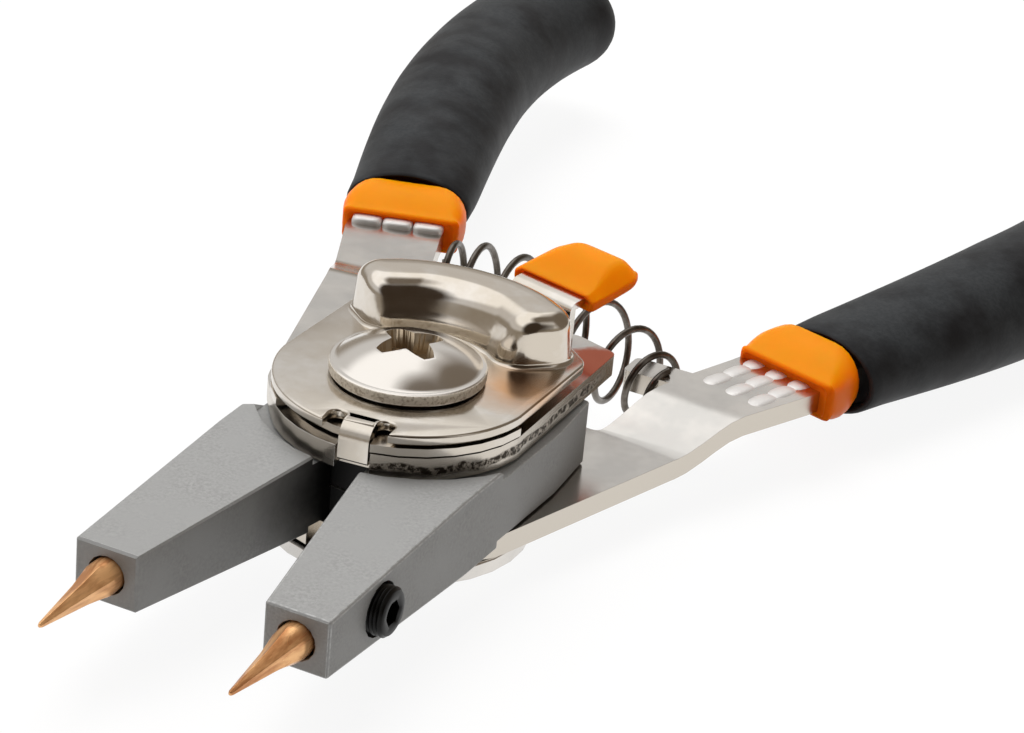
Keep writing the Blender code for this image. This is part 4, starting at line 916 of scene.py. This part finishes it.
# %% Jaws
# Painted shade: the jaws' facing sides go near black towards the pivot, where they lie in shade
SHADE = (0.004, 0.0035, 0.003)
SHADE_REACH = 29 * MM
SHADE_FADE = 13 * MM
SHADED_STEEP = 0.5
SHADED_TURN = 0.4
LAP_LEVEL = 17.0 * MM
CORNER_BEYOND = (-16 * MM, -9 * MM)
CORNER_DEPTH = -9.9 * MM
HEEL_BEYOND = -16.2 * MM
HEEL_SPAN = (-7.5 * MM, 9 * MM)
HEEL_REACH = -15.4 * MM
jaw_shade = with_painted_spot("jaw_shade", jaw_steel, (0, 0, MIDDLE), SHADE_REACH, SHADE, SHADE_FADE)


def blunted(mesh):
    """The left jaw's sharp rear corner taken back, and its heel drawn in under the handle."""
    for corner in mesh.vertices:
        x, y, z = corner.co
        if z > LAP_LEVEL and x < CORNER_BEYOND[0] and y > CORNER_BEYOND[1]:
            corner.co.y = CORNER_DEPTH
        elif z < LAP_LEVEL and x < HEEL_BEYOND and HEEL_SPAN[0] < y < HEEL_SPAN[1]:
            corner.co.x = HEEL_REACH


for side, mirror in (("right", 1), ("left", -1)):
    jaw_mesh = copy_of(f"{side}_jaw")
    if side == "left":
        blunted(jaw_mesh)
    jaw = add(f"{side}_jaw_block", jaw_mesh, jaw_steel, jaw_edge, jaw_shade)
    soft_edges(jaw, 0.16 * MM, 2, worn_slot=1)
    for face in jaw.data.polygons:
        inwards = face.normal.x * mirror < SHADED_TURN
        if abs(face.normal.z) < SHADED_STEEP and inwards and face.center.y < 0:
            face.material_index = 2
    settle(jaw, f"{side}_jaw_set", "sintered_steel", f"{side}_jaw")

# %% [markdown]
# ### Points
# A point is ground by hand on a small pin: a short round root, a shoulder, and six uneven flats that
# run out to the end. A loft that turns from a circle to a hexagon makes it, with crisp long edges.

# %% Points
POINT_ACROSS = 12.0
POINT_LEAN = -0.2
POINT_TURN = 97
POINT_SIDES = 6
POINT_STEPS = 30
POINT_ROUND = -46.4
POINT_FLAT = -48.9
POINT_UNEVEN = 0.05
POINT_CORNERS = 1.08
POINT_SHARP = math.radians(20)
# Each ring: its place along the jaw and its radius, in millimetres
POINT_PROFILE = [(-44.6, 2.15), (-46.2, 2.2), (-47.4, 2.12), (-48.9, 1.72), (-51.0, 1.32), (-54.5, 0.86),
                 (-57.4, 0.48), (-58.5, 0.34), (-58.8, 0.2)]


def point_ring(mirror, y, radius):
    """A ring of the point: round at its root, and ground flat on six sides further out."""
    root, end = POINT_PROFILE[0][0], POINT_PROFILE[-1][0]
    x = (POINT_ACROSS + POINT_LEAN * (y - root) / (end - root)) * MM
    ground = min(max((y - POINT_ROUND) / (POINT_FLAT - POINT_ROUND), 0), 1)
    ring = []
    for number in range(POINT_STEPS):
        degrees = 360 * number / POINT_STEPS
        aside = degrees % (360 / POINT_SIDES) - 180 / POINT_SIDES
        uneven = 1 + POINT_UNEVEN * math.cos(math.radians(2 * degrees) + mirror)
        facet = math.cos(math.pi / POINT_SIDES) / math.cos(math.radians(aside))
        reach = radius * uneven * (1 + ground * (POINT_CORNERS * facet - 1)) * MM
        flat = polar(reach, degrees + POINT_TURN)
        ring.append(Vector((mirror * (x + flat.x), y * MM, MIDDLE + flat.y)))
    return ring


for side, mirror in (("right", 1), ("left", -1)):
    rings = [point_ring(mirror, y, radius) for y, radius in POINT_PROFILE]
    point = add(f"{side}_point", loft(f"{side}_point", rings), copper)
    point.data.set_sharp_from_angle(angle=POINT_SHARP)
    soft_edges(point, 0.06 * MM, 2)
    settle(point, f"{side}_jaw_set", "copper_coat", f"{side}_tip")

# %% [markdown]
# ### Set screws
# A black screw with a few turns of thread showing and a six-sided socket. The left one is turned
# further in. Each is a loft along the X axis, whose last rings step into the socket. Rings instead of
# a true helix are enough for a thread of half a millimetre, and they close cleanly.

# %% Set screws
SCREW_Y = -34.7 * MM
SCREW_RADIUS = 2.95 * MM
SCREW_NECK = 0.3 * MM
THREAD_DEPTH = 0.22 * MM
THREAD_PITCH = 0.5 * MM
THREAD_ROOT = SCREW_RADIUS - THREAD_DEPTH
SOCKET_RADIUS = 1.55 * MM
SOCKET_DEPTH = 1.4 * MM
SOCKET_SIDES = 6
SCREW_POINTS = 48
# One turn of the thread: places along it and the radius there
THREAD_FORM = [(0.08 * MM, THREAD_ROOT), (0.25 * MM, SCREW_RADIUS), (0.33 * MM, SCREW_RADIUS)]
# The screw's outer end: places back from its face, the radius there, and the number of sides
SCREW_END = [(SCREW_NECK, THREAD_ROOT, 0), (0.1 * MM, SCREW_RADIUS - 0.3 * MM, 0),
             (0, SCREW_RADIUS - 0.5 * MM, 0), (0, SOCKET_RADIUS + 0.15 * MM, 0),
             (0.15 * MM, SOCKET_RADIUS, SOCKET_SIDES), (SOCKET_DEPTH, SOCKET_RADIUS, SOCKET_SIDES)]


def screw_ring(mirror, x, radius, sides=0):
    """A ring across the X axis, round or with flat sides."""
    ring = []
    for number in range(SCREW_POINTS):
        degrees = 360 * number / SCREW_POINTS
        reach = radius
        if sides:
            aside = (degrees + 180 / sides) % (360 / sides) - 180 / sides
            reach = radius * math.cos(math.pi / sides) / math.cos(math.radians(abs(aside) - 180 / sides))
        flat = polar(reach, degrees)
        ring.append(Vector((mirror * x, SCREW_Y + flat.x, MIDDLE + flat.y)))
    return ring


for side, mirror, turned_in in (("right", 1, 0.0), ("left", -1, 1.1 * MM)):
    low, high = (corner[0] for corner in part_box(f"{side}_tip_screw"))
    inner, outer = (low, high) if mirror > 0 else (-high, -low)
    outer -= turned_in
    inner -= turned_in
    rings = [screw_ring(mirror, inner, THREAD_ROOT)]
    turns = int((outer - inner - SCREW_NECK) / THREAD_PITCH)
    for number in range(turns):
        x = outer - SCREW_NECK - THREAD_PITCH * (turns - number)
        rings += [screw_ring(mirror, x + along, radius) for along, radius in THREAD_FORM]
    rings += [screw_ring(mirror, outer - back, radius, sides) for back, radius, sides in SCREW_END]
    screw = add(f"{side}_set_screw", loft(f"{side}_set_screw", rings), black_oxide)
    settle(screw, f"{side}_jaw_set", "black_oxide", f"{side}_tip_screw")

# %% [markdown]
# ## Collars, grips and the lever's cap
# Moulded pieces have no sharp edge anywhere, so they are lofts of rounded sections. A section is
# given by how far along the handle's line it lies, how far out from it, its width and its heights.

# %% Places along a handle
GRIP_LEVEL = 2.7 * MM
ARMS = {-1: "upper_arm", 1: "lower_arm"}
SQUARE = ((-1, -1), (1, -1), (1, 1), (-1, 1))


def on_handle(side, along, out, level):
    """A place on a handle: side is -1 for the left, upper one and 1 for the right, lower one."""
    line = Vector((side * math.sin(HANDLE_LEAN), math.cos(HANDLE_LEAN)))
    outward = Vector((side * math.cos(HANDLE_LEAN), -math.sin(HANDLE_LEAN)))
    flat = line * along + outward * out
    return Vector((flat.x, flat.y, MIDDLE - side * GRIP_LEVEL + level))


def section_ring(side, along, out, half_width, low, high, corner):
    """A rectangle with round corners, square to the handle's line."""
    middle = (low + high) / 2
    half_height = (high - low) / 2
    corners = [(Vector((half_width * x, half_height * y)), corner) for x, y in SQUARE]
    return [on_handle(side, along, out + across, middle + up) for across, up in rounded(corners, count=6)]


# %% [markdown]
# ### Collars
# An orange collar closes the front of each sleeve. It starts with a small hollow mouth round the
# handle, and grows rounder and a little thicker towards the sleeve, which the swell gives.

# %% Collars
COLLAR_END = 66.4 * MM
# Each collar: its side and start, then at its front and rear how far out it lies, its half width, and
# its low and high level, and last its corner radius at both ends, all in millimetres
COLLARS = {
    "left": (-1, 57.9, (11.8, 8.2, -1.9, 3.2), (12.3, 8.4, -4.0, 4.5), (1.5, 4.2)),
    "right": (1, 57.0, (13.3, 7.9, -2.3, 3.1), (10.9, 7.9, -5.6, 4.1), (1.5, 4.8)),
}
# Each ring of the mouth: how far it is drawn in and how far back it lies
COLLAR_MOUTH = [(2.9, 0.55), (1.7, 0.5), (1.1, 0.3), (0.75, 0.0), (0.45, 0.06), (0.2, 0.25), (0.05, 0.5)]
COLLAR_LIP = 0.9
COLLAR_SWELL = 0.35 * MM
COLLAR_STEPS = 8
for name, (side, start, front, rear, corners) in COLLARS.items():
    rings = []
    for inset, back in COLLAR_MOUTH:
        out, half, low, high = (value * MM for value in front)
        rings.append(section_ring(side, (start + back) * MM, out, half - inset * MM,
                                  low + 0.6 * inset * MM, high - 0.8 * inset * MM, 0.9 * MM))
    first = (start + COLLAR_LIP) * MM
    for step in range(COLLAR_STEPS + 1):
        share = step / COLLAR_STEPS
        swell = COLLAR_SWELL * math.sin(math.pi * share)
        out, half, low, high = (MM * (a + (b - a) * share) for a, b in zip(front, rear))
        corner = MM * (corners[0] + (corners[1] - corners[0]) * share)
        along = first + (COLLAR_END - first) * share
        rings.append(section_ring(side, along, out, half + swell, low - swell, high + swell,
                                  min(corner, (high - low) / 2)))
    collar = add(f"{name}_collar_moulding", loft(f"{name}_collar_moulding", rings), orange_plastic)
    settle(collar, ARMS[side], "orange_plastic", f"{name}_collar")

# %% [markdown]
# ### Pressed ribs
# Rows of short ribs are coined into the handle just before its collar, and keep the collar from
# sliding. Geometry Nodes set one rib on each point of a small grid, so that the rows stay even. A rib
# starts as a round ball and is pushed towards a box by its squareness.

# %% Helpers for Geometry Nodes
def maker_tree(name, sockets):
    """A Geometry Nodes tree with named inputs, and those inputs' sockets inside it."""
    tree = bpy.data.node_groups.new(name, "GeometryNodeTree")
    for socket, kind in sockets.items():
        tree.interface.new_socket(socket, in_out="INPUT", socket_type=f"NodeSocket{kind}")
    tree.interface.new_socket("Piece", in_out="OUTPUT", socket_type="NodeSocketGeometry")
    return tree, node(tree, "NodeGroupInput").outputs


def end_tree(tree, geometry, look):
    """Make the instances real, put the finish on and hand the piece out."""
    solid = node(tree, "GeometryNodeRealizeInstances", {0: geometry})
    coated = node(tree, "GeometryNodeSetMaterial", {"Geometry": solid.outputs[0], "Material": look})
    node(tree, "NodeGroupOutput", {0: coated.outputs[0]})


def grown(obj, tree, values):
    """The result of a tree, with its inputs set, as a plain mesh on the same object."""
    maker = obj.modifiers.new("maker", "NODES")
    maker.node_group = tree
    for item in tree.interface.items_tree:
        if item.in_out == "INPUT" and item.name in values:
            maker[item.identifier] = values[item.name]
    return finished(obj)


# %% Ribs
# Each handle's ribs: its side, the first row's place along it, places across it, the number of rows,
# a rib's size, how far it stands out of the plate, all in millimetres, and its squareness
RIBS = {
    "left": (-1, 58.0, (16.4, 12.1, 7.8), 1, (4.2, 3.2, 2.0), 0.9, 1.7),
    "right": (1, 57.3, (8.4, 12.2, 16.0), 3, (3.4, 6.0, 2.4), 0.24, 0.8),
}
ROW_PITCH = 4.0
PLATE_TOP = 1.4

rib_maker, given = maker_tree("pressed_ribs", {"Places": "Geometry", "Size": "Vector", "Turn": "Float",
                                               "Squareness": "Float", "Finish": "Material"})
ball = node(rib_maker, "GeometryNodeMeshUVSphere", {"Segments": 20, "Rings": 10, "Radius": 0.5})
place = node(rib_maker, "GeometryNodeInputPosition").outputs[0]
spare = vectors(rib_maker, "SUBTRACT", (0.5, 0.5, 0.5), vectors(rib_maker, "ABSOLUTE", place))
push = vectors(rib_maker, "MULTIPLY", spare, given["Squareness"])
boxed = vectors(rib_maker, "MULTIPLY_ADD", place, push, place)
sized = vectors(rib_maker, "MULTIPLY", boxed, given["Size"])
rib = node(rib_maker, "GeometryNodeSetPosition", {"Geometry": ball.outputs["Mesh"], "Position": sized})
turn = node(rib_maker, "ShaderNodeCombineXYZ", {"Z": given["Turn"]})
grid = node(rib_maker, "GeometryNodeInstanceOnPoints",
            {"Points": given["Places"], "Instance": rib.outputs[0], "Rotation": turn.outputs[0]})
end_tree(rib_maker, grid.outputs[0], given["Finish"])

for name, (side, start, outs, rows, size, shown, squareness) in RIBS.items():
    shape = bmesh.new()
    for row in range(rows):
        for out in outs:
            level = (PLATE_TOP + shown - size[2] / 2) * MM
            shape.verts.new(on_handle(side, (start - ROW_PITCH * row) * MM, out * MM, level))
    ribs = add(f"{name}_handle_ribs", mesh_from(shape, "places"), rolled_nickel)
    grown(ribs, rib_maker, {"Size": tuple(value * MM for value in size), "Turn": -side * HANDLE_LEAN,
                            "Squareness": squareness, "Finish": rib_nickel})
    ribs.data.shade_smooth()
    settle(ribs, ARMS[side], "nickel_plate")

# %% [markdown]
# ### Grips
# Each sleeve is thick foam pushed over the handle's end. Seen from above, it swings outwards and then
# curls in. It is a loft of ovals square to that curve: it starts with a rolled mouth behind the
# collar, swells up to its middle, and ends in a dome. Foam of this kind is stiff, so it isn't simulated.

# %% Grips
GRIP_START = COLLAR_END + 0.3 * MM
GRIP_LENGTH = 96.0 * MM
GRIP_MOUTH = 6.5 * MM
GRIP_OUT = 12.4 * MM
GRIP_SPREAD = 4.1 * MM
GRIP_CURL = 15.6 * MM
GRIP_LIFT = 0.8 * MM
GRIP_RADIUS = 9.8 * MM
GRIP_MOUTH_SHARE = 0.9
GRIP_SWELL_SHARE = 0.45
GRIP_DOME = 8.5 * MM
GRIP_MOUTH_HEIGHT_SHARE = {-1: 0.54, 1: 0.62}
GRIP_HEIGHT_SHARE = 0.86
GRIP_POINTS = 48
GRIP_RINGS = 64
GRIP_DOME_RINGS = 12
GRIP_LAST = 0.999
# Each ring of the rolled mouth: its place and how much smaller it is, in millimetres
GRIP_LIP = [(1.6, 1.6), (0.5, 1.3), (0.1, 0.9), (0.0, 0.5), (0.12, 0.18)]


def grip_out(along):
    """How far out the grip's curve lies."""
    share = max(along - GRIP_START - GRIP_MOUTH, 0) / (GRIP_LENGTH - GRIP_MOUTH)
    return GRIP_OUT + GRIP_SPREAD * share - GRIP_CURL * share ** 3


def grip_ring(side, place, shrink=0.0):
    """An oval ring across the grip's curve."""
    along = GRIP_START + place
    rise = min(max(place, 0) / GRIP_LENGTH / GRIP_SWELL_SHARE, 1)
    swell = math.sin(math.pi / 2 * rise)
    radius = GRIP_RADIUS * (GRIP_MOUTH_SHARE + (1 - GRIP_MOUTH_SHARE) * swell)
    dome = max(place - (GRIP_LENGTH - GRIP_DOME), 0) / GRIP_DOME
    radius = radius * math.sqrt(max(1 - dome ** 2.2, 0.0004)) - shrink
    mouth = GRIP_MOUTH_HEIGHT_SHARE[side]
    flatness = mouth + (GRIP_HEIGHT_SHARE - mouth) * rise
    slope = (grip_out(along + MM) - grip_out(along - MM)) / (2 * MM)
    ring = []
    for number in range(GRIP_POINTS):
        turn = polar(radius, 360 * number / GRIP_POINTS)
        ring.append(on_handle(side, along - slope * turn.x, grip_out(along) + turn.x,
                              -side * GRIP_LIFT + turn.y * flatness))
    return ring


for name, side in (("left", -1), ("right", 1)):
    rings = [grip_ring(side, place * MM, shrink * MM) for place, shrink in GRIP_LIP]
    straight = GRIP_LENGTH - GRIP_DOME
    first = 0.5 * MM
    for number in range(GRIP_RINGS):
        rings.append(grip_ring(side, first + (straight - first) * number / GRIP_RINGS))
    for number in range(GRIP_DOME_RINGS + 1):
        over = math.sin(math.pi / 2 * number / GRIP_DOME_RINGS)
        rings.append(grip_ring(side, straight + GRIP_DOME * over * GRIP_LAST))
    grip = add(f"{name}_grip_sleeve", loft(f"{name}_grip_sleeve", rings), foam)
    settle(grip, ARMS[side], "dark_foam", f"{name}_grip")

# %% [markdown]
# ### The lever's cap
# A soft-edged thumb piece: wide and thin where it meets the lever, higher and narrower behind, and
# tilted up with the lever's tongue. Its sections have six corners, and a step of subdivision rounds
# what the sections leave angular.

# %% Lever cap
LEVER_ANGLE = 74.5
CAP_START = 25.6 * MM
# Sizes of the cap's section in millimetres, at its front and behind
CAP_HALF = 6.65
CAP_LOW = (25.5, 27.0)
CAP_WING = (26.9, 28.1)
CAP_HIGH = (27.7, 29.8)
CAP_TOP_LEFT = (5.6, 3.3)
CAP_TOP_RIGHT = (5.6, 4.4)
CAP_RISE = 6.5
CAP_LENGTH = 9.8
CAP_SQUEEZE = 0.72
# Each ring: how far back it lies and how far it is drawn in
CAP_RINGS = [(0.55, 1.2), (0.5, 0.95), (0.15, 0.62), (0.0, 0.42), (0.1, 0.16), (0.4, 0.0), (1.4, 0.0),
             (2.8, 0.0), (4.2, 0.0), (5.6, 0.0), (7.0, 0.0), (8.0, 0.05), (8.8, 0.3), (9.4, 0.7),
             (9.7, 1.05), (9.8, 1.3)]


def between(pair, share):
    return pair[0] + (pair[1] - pair[0]) * share


def cap_ring(back, inset):
    """A section of the cap across the lever, shrunk by the inset."""
    even = back / CAP_LENGTH
    ease = min(back / CAP_RISE, 1)
    ease = ease * ease * (3 - 2 * ease)
    low = between(CAP_LOW, even) + CAP_SQUEEZE * inset
    wing = between(CAP_WING, even) - 0.1 * inset
    high = between(CAP_HIGH, ease) - CAP_SQUEEZE * inset
    left, right = between(CAP_TOP_LEFT, ease), between(CAP_TOP_RIGHT, ease)
    side = CAP_HALF - inset
    wing_corner = 0.5 + 0.5 * even
    corners = [((-side, low), 0.5), ((side, low), 0.5), ((side, wing), wing_corner),
               ((left - inset, high), 0.5 + 2.6 * ease), ((inset - right, high), 0.5 + 2.4 * ease),
               ((-side, wing), wing_corner)]
    ring = []
    for across, level in rounded([(Vector(place), radius) for place, radius in corners], count=5):
        flat = polar(1, LEVER_ANGLE) * (CAP_START + back * MM) + polar(1, LEVER_ANGLE + 90) * across * MM
        ring.append(Vector((flat.x, flat.y, level * MM)))
    return ring


cap_mesh = loft("lever_cap_moulding", [cap_ring(back, inset) for back, inset in CAP_RINGS])
cap = add("lever_cap_moulding", cap_mesh, orange_plastic)
rounder = cap.modifiers.new("round", "SUBSURF")
rounder.levels = 1
rounder.render_levels = 1
finished(cap)
settle(cap, "shift_lever_set", "orange_plastic", "lever_cap")

# %% [markdown]
# ## Return spring
# One wire wound into a barrel between the two handles. It hangs between a lug on the upper plate and
# one on the lower, so its axis tilts. A tree bends a straight line of points into the coil: each
# point's share of the wire gives its turn, and two curves give the barrel and the spacing.

# %% The coil's tree
SPRING_POINTS = 160
SPRING_SIZES = ("From", "To", "Turns", "Reach", "Tilt", "Bow", "End Radius", "Swell", "Wire",
                "Lateral", "Level")


def spring_tree():
    """A wire coiled round a tilted axis, from named sizes."""
    tree, sizes = maker_tree("barrel_spring", {"Start": "Geometry", **dict.fromkeys(SPRING_SIZES, "Float"),
                                               "Finish": "Material"})
    index = node(tree, "GeometryNodeInputIndex").outputs[0]
    share = sums(tree, "DIVIDE", index, float(SPRING_POINTS))
    length = sums(tree, "SUBTRACT", sizes["To"], sizes["From"])
    share = sums(tree, "MULTIPLY_ADD", share, length, sizes["From"])
    swing = sums(tree, "MULTIPLY_ADD", share, 2.0, -1.0)
    bunched = sums(tree, "SINE", sums(tree, "MULTIPLY", swing, math.pi / 2))
    even = sums(tree, "MULTIPLY_ADD", swing, 0.25, sums(tree, "MULTIPLY", bunched, 0.75))
    square = sums(tree, "MULTIPLY", even, even)
    fat = sums(tree, "SUBTRACT", 1.0, sums(tree, "POWER", square, 1.6))
    radius = sums(tree, "MULTIPLY_ADD", fat, sizes["Swell"], sizes["End Radius"])
    back = sums(tree, "MULTIPLY", sums(tree, "SUBTRACT", share, 1.0), 2 * math.pi)
    angle = sums(tree, "MULTIPLY", back, sizes["Turns"])
    along = sums(tree, "MULTIPLY", even, sizes["Reach"])
    level = sums(tree, "MULTIPLY_ADD", sums(tree, "COSINE", angle), radius, sizes["Level"])
    level = sums(tree, "SUBTRACT", level, sums(tree, "MULTIPLY", along, sizes["Tilt"]))
    bend = sums(tree, "MULTIPLY", even, sizes["Bow"])
    aside = sums(tree, "MULTIPLY", sums(tree, "SINE", angle), radius)
    drop = sums(tree, "MULTIPLY", sums(tree, "MULTIPLY", square, sizes["Bow"]),
                sums(tree, "MULTIPLY", sizes["Reach"], 0.5))
    lateral = sums(tree, "SUBTRACT", sizes["Lateral"], drop)
    lateral = sums(tree, "MULTIPLY_ADD", aside, sums(tree, "COSINE", bend), lateral)
    along = sums(tree, "MULTIPLY_ADD", aside, sums(tree, "SINE", bend), along)
    place = node(tree, "ShaderNodeCombineXYZ", {0: along, 1: lateral, 2: level})
    line = node(tree, "GeometryNodeMeshLine", {"Count": SPRING_POINTS + 1})
    coil = node(tree, "GeometryNodeSetPosition",
                {"Geometry": line.outputs[0], "Position": place.outputs[0]})
    path = node(tree, "GeometryNodeMeshToCurve", {0: coil.outputs[0]})
    section = node(tree, "GeometryNodeCurvePrimitiveCircle", {"Resolution": 12, "Radius": sizes["Wire"]})
    wire = node(tree, "GeometryNodeCurveToMesh",
                {"Curve": path.outputs[0], "Profile Curve": section.outputs[0], "Fill Caps": True})
    end_tree(tree, wire.outputs[0], sizes["Finish"])
    return tree


# %% [markdown]
# The spring crosses the pivot's joint, and a blend can only turn a piece between two bodies. The
# spring crosses the pivot's joint, so the wire is made as two halves that meet in the middle.
# Neither half is attached to an arm.

# %% Return spring
SPRING_Y = 44.3 * MM
SPRING_REACH = 17.0 * MM
BARREL = {"Turns": 7.75, "Reach": SPRING_REACH, "Tilt": 0.25, "Bow": math.radians(17.5),
          "End Radius": 3.4 * MM, "Swell": 2.85 * MM, "Wire": 0.475 * MM, "Lateral": SPRING_Y,
          "Level": MIDDLE, "Finish": spring_wire}

coil_maker = spring_tree()
for name, first, last, arm, end in (("left", 0.0, 0.5, "upper_arm", -SPRING_REACH),
                                    ("right", 0.5, 1.0, "lower_arm", SPRING_REACH)):
    spring = add(f"{name}_spring_half", bpy.data.meshes.new("wire"), spring_wire)
    grown(spring, coil_maker, {"From": first, "To": last, **BARREL})
    cleaned(spring.data, 0.0)
    spring.data.shade_smooth()
    settle(spring, None, "spring_steel", "return_spring")
    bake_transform(spring)

# %% [markdown]
# ## Count
# The number of pieces and of their faces is printed.

# %% Count the pieces
print("pieces:", len(PIECES), "faces:", sum(len(obj.data.polygons) for obj in PIECES))
